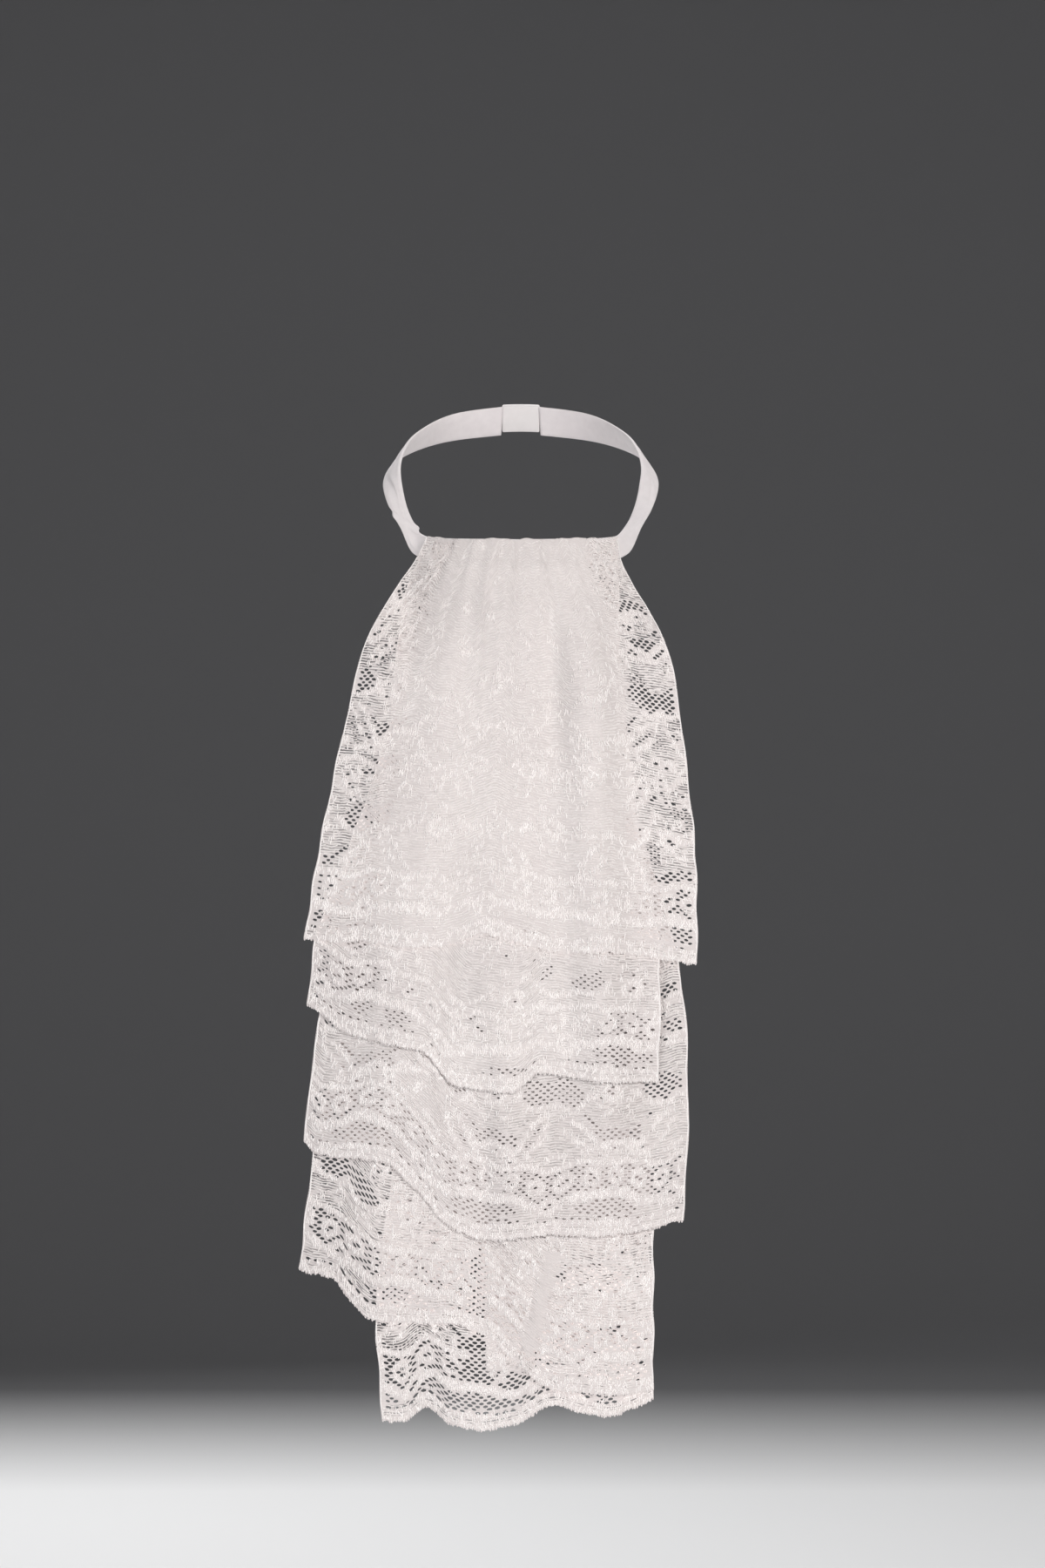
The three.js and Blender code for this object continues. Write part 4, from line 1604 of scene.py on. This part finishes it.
def make_laid_group() -> bpy.types.NodeTree:
    """Height of the threads that are laid side by side across the lace, on the flat layout.

    Returns:
        The node group.
    """
    group = new_group(
        "laid_threads",
        [("Pitch", "NodeSocketFloat", 1.25), ("Wander", "NodeSocketFloat", 0.8)],
        [("Height", "NodeSocketFloat")])
    wiring = Wiring(group)
    source, sink = group.nodes["in"], group.nodes["out"]
    flat = wiring.node("ShaderNodeUVMap", uv_map="flat").outputs["UV"]
    parts = wiring.node("ShaderNodeSeparateXYZ")
    wiring.feed(parts.inputs[0], flat)
    drift = wiring.math("SUBTRACT", wiring.noise(flat, 28.0, 2.0), 0.5)
    wander = wiring.math("MULTIPLY", drift, source.outputs["Wander"])
    rows = wiring.math("DIVIDE", wiring.math("MULTIPLY", parts.outputs["Y"], 100.0), source.outputs["Pitch"])
    phase = wiring.math("MULTIPLY", wiring.math("ADD", rows, wander), 2 * math.pi)
    wave = wiring.math("MULTIPLY", wiring.math("ADD", wiring.math("SINE", phase), 1.0), 0.5)
    stretched = wiring.node("ShaderNodeMapping")
    wiring.feed(stretched.inputs["Vector"], flat)
    stretched.inputs["Scale"].default_value = (22.0, 130.0, 1.0)
    streaks = wiring.noise(stretched.outputs["Vector"], 1.0, 3.0)
    wiring.feed(sink.inputs["Height"], wiring.math(
        "ADD", wiring.math("MULTIPLY", wave, 0.45), wiring.math("MULTIPLY", streaks, 0.55)))
    return group


def make_weave_group() -> bpy.types.NodeTree:
    """Height of a plain weave on the flat layout.

    Returns:
        The node group.
    """
    group = new_group(
        "plain_weave", [("Threads", "NodeSocketFloat", 2.2)], [("Height", "NodeSocketFloat")])
    wiring = Wiring(group)
    source, sink = group.nodes["in"], group.nodes["out"]
    parts = wiring.node("ShaderNodeSeparateXYZ")
    wiring.feed(parts.inputs[0], wiring.node("ShaderNodeUVMap", uv_map="flat").outputs["UV"])
    heights = []
    for axis in ("X", "Y"):
        place = wiring.math("MULTIPLY", parts.outputs[axis], 100.0)
        turns = wiring.math("MULTIPLY", place, source.outputs["Threads"])
        heights.append(wiring.math("SINE", wiring.math("MULTIPLY", turns, 2 * math.pi)))
    wiring.feed(sink.inputs["Height"], wiring.math("MULTIPLY", heights[0], heights[1]))
    return group


@dataclass(frozen=True)
class Finish:
    """What all finishes share: a name, two tones, a roughness and a sheen."""

    name: str
    color: tuple[float, float, float]
    shade: tuple[float, float, float]
    roughness: float
    sheen: float = 0.25

    def start(self) -> tuple[bpy.types.Material, Wiring, bpy.types.Node]:
        """Start a material.

        Returns:
            The material, its wiring and its Principled BSDF.
        """
        material = bpy.data.materials.new(self.name)
        material.use_nodes = True
        shader = material.node_tree.nodes["Principled BSDF"]
        shader.inputs["Sheen Weight"].default_value = self.sheen
        shader.inputs["Sheen Roughness"].default_value = 0.45
        shader.inputs["Specular IOR Level"].default_value = 0.3
        return material, Wiring(material.node_tree), shader

    def tone(self, wiring: Wiring, groups: dict[str, bpy.types.NodeTree], amount: float) -> bpy.types.Node:
        """Place the tone group with this finish's colours.

        Args:
            wiring: Wiring of the material.
            groups: Shared node groups by name.
            amount: Greatest share of the darker tone.

        Returns:
            The placed group.
        """
        made = wiring.node("ShaderNodeGroup", node_tree=groups["tone"])
        made.inputs["Color"].default_value = (*self.color, 1)
        made.inputs["Shade"].default_value = (*self.shade, 1)
        made.inputs["Amount"].default_value = amount
        return made

    def rough(
        self, wiring: Wiring, shader: bpy.types.Node, mask: bpy.types.NodeSocket, spread: float,
    ) -> None:
        """Let the roughness change with a mask.

        Args:
            wiring: Wiring of the material.
            shader: Its Principled BSDF.
            mask: The mask.
            spread: Difference between the roughest and the smoothest places.
        """
        change = wiring.math("MULTIPLY", mask, spread)
        wiring.feed(shader.inputs["Roughness"], wiring.math("ADD", change, self.roughness - spread / 2))

    def bump(
        self, wiring: Wiring, shader: bpy.types.Node, height: object, strength: float, depth: float,
    ) -> None:
        """Raise the surface by a height.

        Args:
            wiring: Wiring of the material.
            shader: Its Principled BSDF.
            height: Source of the height.
            strength: Share of the full relief.
            depth: Depth of the full relief in metres.
        """
        made = wiring.node("ShaderNodeBump")
        made.inputs["Strength"].default_value = strength
        made.inputs["Distance"].default_value = depth
        wiring.feed(made.inputs["Height"], height)
        wiring.feed(shader.inputs["Normal"], made.outputs["Normal"])


@dataclass(frozen=True)
class LaceFinish(Finish):
    """Ground of the lace: brighter where it is close and greyer in the net, partly the lace's own closeness
    and partly painted light and shade, with its laid threads in relief and painted shade in the grooves
    between them.
    """

    close: tuple[float, float, float] = (0.94, 0.90, 0.885)
    thread_pitch: float = 1.24
    relief: float = 0.6
    painted_groove_shade: float = 0.3
    through: float = 0.85

    def build(self, groups: dict[str, bpy.types.NodeTree]) -> bpy.types.Material:
        """Make the material.

        Args:
            groups: Shared node groups by name.

        Returns:
            The finished material.
        """
        material, wiring, shader = self.start()
        tone = self.tone(wiring, groups, 0.45)
        density = wiring.node("ShaderNodeAttribute", attribute_name="density").outputs["Fac"]
        laid = wiring.node("ShaderNodeGroup", node_tree=groups["laid"])
        laid.inputs["Pitch"].default_value = self.thread_pitch
        height = laid.outputs["Height"]
        # The density mask mixes the net's grey into the close colour: partly the lace's own closeness,
        # partly painted light and painted shade
        bright = wiring.mix(wiring.math("POWER", density, 1.6), tone.outputs["Color"], (*self.close, 1))
        # Painted shade: the grooves between the laid threads are darkened towards the shade colour
        painted_groove_shade = wiring.math("MULTIPLY", wiring.math("SUBTRACT", 1.0, height), self.painted_groove_shade)
        wiring.feed(shader.inputs["Base Color"], wiring.mix(painted_groove_shade, bright, (*self.shade, 1)))
        self.rough(wiring, shader, height, 0.22)
        sheer = wiring.node("ShaderNodeAttribute", attribute_name="sheer").outputs["Fac"]
        # Gaps open where the laid threads lie lowest, and wider where the lace is sheer
        gap = wiring.node("ShaderNodeMapRange")
        sheer_share = wiring.math("MULTIPLY", sheer, 0.24)
        wiring.feed(gap.inputs["Value"], wiring.math("SUBTRACT", sheer_share, height))
        gap.inputs["From Min"].default_value = -0.38
        gap.inputs["From Max"].default_value = -0.26
        opened = wiring.math("MULTIPLY", gap.outputs["Result"], sheer)
        through = wiring.math("MULTIPLY", opened, self.through)
        wiring.feed(shader.inputs["Alpha"], wiring.math("SUBTRACT", 1.0, through))
        fuzz = wiring.noise(wiring.node("ShaderNodeTexCoord").outputs["Object"], 1400.0, 2.0)
        relief = wiring.math("ADD", height, wiring.math("MULTIPLY", fuzz, 0.4))
        self.bump(wiring, shader, relief, self.relief, 0.3 * MM)
        return material


@dataclass(frozen=True)
class StitchFinish(Finish):
    """Soft bright thread of the stitches and cords. The laid stitches are painted darker than the others, as
    painted shade of the sheer ground that they lie in.
    """

    # Painted shade: the darker colour of the laid stitches
    laid: tuple[float, float, float] = (0.76, 0.71, 0.695)

    def build(self, groups: dict[str, bpy.types.NodeTree]) -> bpy.types.Material:
        """Make the material.

        Args:
            groups: Shared node groups by name.

        Returns:
            The finished material.
        """
        material, wiring, shader = self.start()
        tone = self.tone(wiring, groups, 0.6)
        shine = wiring.node("ShaderNodeAttribute", attribute_name="shine").outputs["Fac"]
        # Painted shade: the laid stitches take only part of the thread's lit colour
        wiring.feed(shader.inputs["Base Color"], wiring.mix(shine, (*self.laid, 1), tone.outputs["Color"]))
        self.rough(wiring, shader, tone.outputs["Mask"], 0.2)
        twist = wiring.noise(wiring.node("ShaderNodeTexCoord").outputs["Object"], 1800.0, 2.0)
        self.bump(wiring, shader, twist, 0.4, 0.12 * MM)
        return material


@dataclass(frozen=True)
class ClothFinish(Finish):
    """Plain woven cloth, as of the band, the stay and the tape, with painted shade in the low places of its
    weave.
    """

    weave: Weave = Weave.PLAIN

    def build(self, groups: dict[str, bpy.types.NodeTree]) -> bpy.types.Material:
        """Make the material.

        Args:
            groups: Shared node groups by name.

        Returns:
            The finished material.
        """
        material, wiring, shader = self.start()
        tone = self.tone(wiring, groups, 0.6)
        weave = wiring.node("ShaderNodeGroup", node_tree=groups["weave"])
        weave.inputs["Threads"].default_value = 1.5 if self.weave is Weave.PLAIN else 2.4
        height = weave.outputs["Height"]
        # Painted shade: the low places of the weave are darkened towards the shade colour
        weave_painted_shade = wiring.math("MULTIPLY", wiring.math("SUBTRACT", 1.0, height), 0.12)
        wiring.feed(shader.inputs["Base Color"], wiring.mix(weave_painted_shade, tone.outputs["Color"], (*self.shade, 1)))
        self.rough(wiring, shader, tone.outputs["Mask"], 0.14)
        slub = wiring.noise(wiring.node("ShaderNodeTexCoord").outputs["Object"], 420.0, 3.0)
        relief = wiring.math("ADD", height, wiring.math("MULTIPLY", slub, 1.2))
        self.bump(wiring, shader, relief, 0.35, 0.15 * MM)
        return material


@dataclass(frozen=True)
class ClosureFinish(Finish):
    """Pale satin plastic with fine rubbing marks."""

    def build(self, groups: dict[str, bpy.types.NodeTree]) -> bpy.types.Material:
        """Make the material.

        Args:
            groups: Shared node groups by name.

        Returns:
            The finished material.
        """
        material, wiring, shader = self.start()
        tone = self.tone(wiring, groups, 0.5)
        wiring.feed(shader.inputs["Base Color"], tone.outputs["Color"])
        self.rough(wiring, shader, tone.outputs["Mask"], 0.2)
        marks = wiring.noise(wiring.node("ShaderNodeTexCoord").outputs["Object"], 900.0, 4.0)
        self.bump(wiring, shader, marks, 0.15, 0.1 * MM)
        return material


@dataclass
class Studio:
    """A pale floor that curves up into a darker wall, soft lights and the camera at the photo's view."""

    drape: Drape
    floor_z: float = -0.72
    bend: float = 1.0
    tone_from: float = 1.65
    tone_to: float = 2.35
    back_y: float = 3.6
    sweep_top: float = 3.4
    half_width: float = 4.5
    pixel: float = 0.41 * MM
    distance: float = 2.4
    lace_depth: float = -0.085
    photo_width: float = 1200.0
    photo_height: float = 1800.0
    band_front_px: tuple[float, float] = (598.0, 617.0)
    sensor: float = 36.0
    floor: tuple[float, float, float] = (0.72, 0.72, 0.725)
    wall: tuple[float, float, float] = (0.13, 0.13, 0.135)

    def build(self) -> None:
        """Set up the sweep, the lights and the camera."""
        self.make_sweep()
        self.make_lights()
        self.make_camera()

    def make_sweep(self) -> None:
        """A floor that curves up into a backdrop."""
        bpy.ops.object.select_all(action="DESELECT")
        bpy.ops.mesh.primitive_plane_add(size=2, location=(0, 0, 0))
        sweep = bpy.context.object
        sweep.name = "sweep"
        bpy.ops.object.mode_set(mode="EDIT")
        bpy.ops.mesh.select_all(action="SELECT")
        bpy.ops.transform.resize(value=(self.half_width, self.half_width, 1))
        bpy.ops.transform.translate(value=(0, self.back_y - self.half_width, self.floor_z))
        bpy.ops.object.mode_set(mode="OBJECT")
        for edge in sweep.data.edges:
            ends = [sweep.data.vertices[number].co.y for number in edge.vertices]
            edge.select = min(ends) > self.back_y - 0.01
        bpy.ops.object.mode_set(mode="EDIT")
        bpy.ops.mesh.select_mode(type="EDGE")
        bpy.ops.mesh.extrude_region_move(
            TRANSFORM_OT_translate={"value": (0, 0, self.sweep_top - self.floor_z)})
        bpy.ops.object.mode_set(mode="OBJECT")
        for edge in sweep.data.edges:
            ends = [sweep.data.vertices[number].co for number in edge.vertices]
            edge.select = all(end.y > self.back_y - 0.01 and end.z < self.floor_z + 0.01 for end in ends)
        bpy.ops.object.mode_set(mode="EDIT")
        bpy.ops.mesh.bevel(offset=self.bend, segments=24, affect="EDGES")
        bpy.ops.object.mode_set(mode="OBJECT")
        bpy.ops.object.shade_smooth()
        finish = bpy.data.materials.new("sweep_paper")
        finish.use_nodes = True
        shader = finish.node_tree.nodes["Principled BSDF"]
        shader.inputs["Roughness"].default_value = 0.9
        wiring = Wiring(finish.node_tree)
        parts = wiring.node("ShaderNodeSeparateXYZ")
        wiring.feed(parts.inputs[0], wiring.node("ShaderNodeTexCoord").outputs["Object"])
        # The paper darkens along the floor towards the wall
        up = wiring.node("ShaderNodeMapRange")
        wiring.feed(up.inputs["Value"], parts.outputs["Y"])
        up.inputs["From Min"].default_value = self.tone_from
        up.inputs["From Max"].default_value = self.tone_to
        tone = wiring.mix(up.outputs["Result"], (*self.floor, 1), (*self.wall, 1))
        wiring.feed(shader.inputs["Base Color"], tone)
        sweep.data.materials.append(finish)
        sweep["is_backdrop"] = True

    def make_lights(self) -> None:
        """Soft lights from the upper right and the lower left, and weaker ones behind and over the floor."""
        world = bpy.data.worlds.new("room")
        world.use_nodes = True
        background = world.node_tree.nodes["Background"]
        background.inputs["Color"].default_value = (0.95, 0.97, 1.0, 1)
        background.inputs["Strength"].default_value = 0.34
        bpy.context.scene.world = world
        bpy.context.scene.view_settings.view_transform = "Standard"
        lace = (0.0, -0.08, -0.2)
        for name, place, target, size, power, color in (
            ("key", (1.3, -2.0, 0.65), lace, 0.7, 40, (1.0, 0.985, 0.97)),
            ("fill", (-1.4, -1.9, -0.5), lace, 1.4, 37, (0.98, 0.99, 1.0)),
            ("rim", (0.2, 0.6, 1.0), lace, 0.8, 6, (1.0, 1.0, 1.0)),
            ("back", (-0.7, 2.0, 0.5), lace, 1.2, 18, (1.0, 1.0, 1.0)),
            ("floor", (0.0, 1.3, 1.2), (0.0, 1.31, -0.7), 1.6, 16, (1.0, 1.0, 1.0)),
        ):
            data = bpy.data.lights.new(name, "AREA")
            data.size = size
            data.energy = power
            data.color = color
            lamp = bpy.data.objects.new(name, data)
            bpy.context.scene.collection.objects.link(lamp)
            lamp.location = place
            lamp.visible_camera = False
            aim = np.array(target) - np.array(place)
            lamp.rotation_euler = (
                math.pi / 2 + math.atan2(aim[2], math.hypot(aim[0], aim[1])), 0,
                math.atan2(-aim[0], aim[1]))

    def make_camera(self) -> None:
        """A camera straight in front, framed as the photo is."""
        data = bpy.data.cameras.new("view")
        data.sensor_width = self.sensor
        data.lens = self.sensor * self.distance / (self.photo_height * self.pixel)
        camera = bpy.data.objects.new("view", data)
        bpy.context.scene.collection.objects.link(camera)
        x = (self.photo_width / 2 - self.band_front_px[0]) * self.pixel
        z = self.drape.front_z - (self.photo_height / 2 - self.band_front_px[1]) * self.pixel
        camera.location = (x, self.lace_depth - self.distance, z)
        camera.rotation_euler = (math.pi / 2, 0, 0)
        bpy.context.scene.camera = camera


def main() -> None:
    """Build every piece around the frame and report it."""
    logging.basicConfig(level=logging.INFO, format="%(message)s")
    drape = Drape()
    Studio(drape).build()
    groups = {"tone": make_tone_group(), "laid": make_laid_group(), "weave": make_weave_group()}
    # The net's grey colour is partly painted shade of what shows through the sheer lace
    net = LaceFinish("lace_net", (0.74, 0.685, 0.67), (0.55, 0.495, 0.49), 0.68)
    thread = StitchFinish("lace_thread", (0.95, 0.915, 0.90), (0.86, 0.81, 0.795), 0.55, sheen=0.4)
    band = ClothFinish("band_cloth", (0.80, 0.755, 0.755), (0.64, 0.59, 0.60), 0.78)
    stay = ClothFinish("stay_cloth", (0.93, 0.895, 0.88), (0.80, 0.75, 0.74), 0.78)
    tape = ClothFinish("tape_cloth", (0.96, 0.935, 0.92), (0.86, 0.82, 0.81), 0.7, weave=Weave.TAPE)
    closure = ClosureFinish("closure_plastic", (0.74, 0.705, 0.70), (0.63, 0.60, 0.595), 0.45, sheen=0.0)
    net_material = net.build(groups)
    thread_material = thread.build(groups)
    NeckBand(drape).build(band.build(groups))
    backing = BackingStay(drape)
    backing.build(stay.build(groups), tape.build(groups))
    BackClosure(drape).build(closure.build(groups))
    for index in range(len(TIERS)):
        LaceTier(index, drape, LacePattern(), backing).build(net_material, thread_material)
    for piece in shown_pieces():
        log.info("%s: %d faces", piece.name, len(piece.data.polygons))


if __name__ == "__main__":
    main()
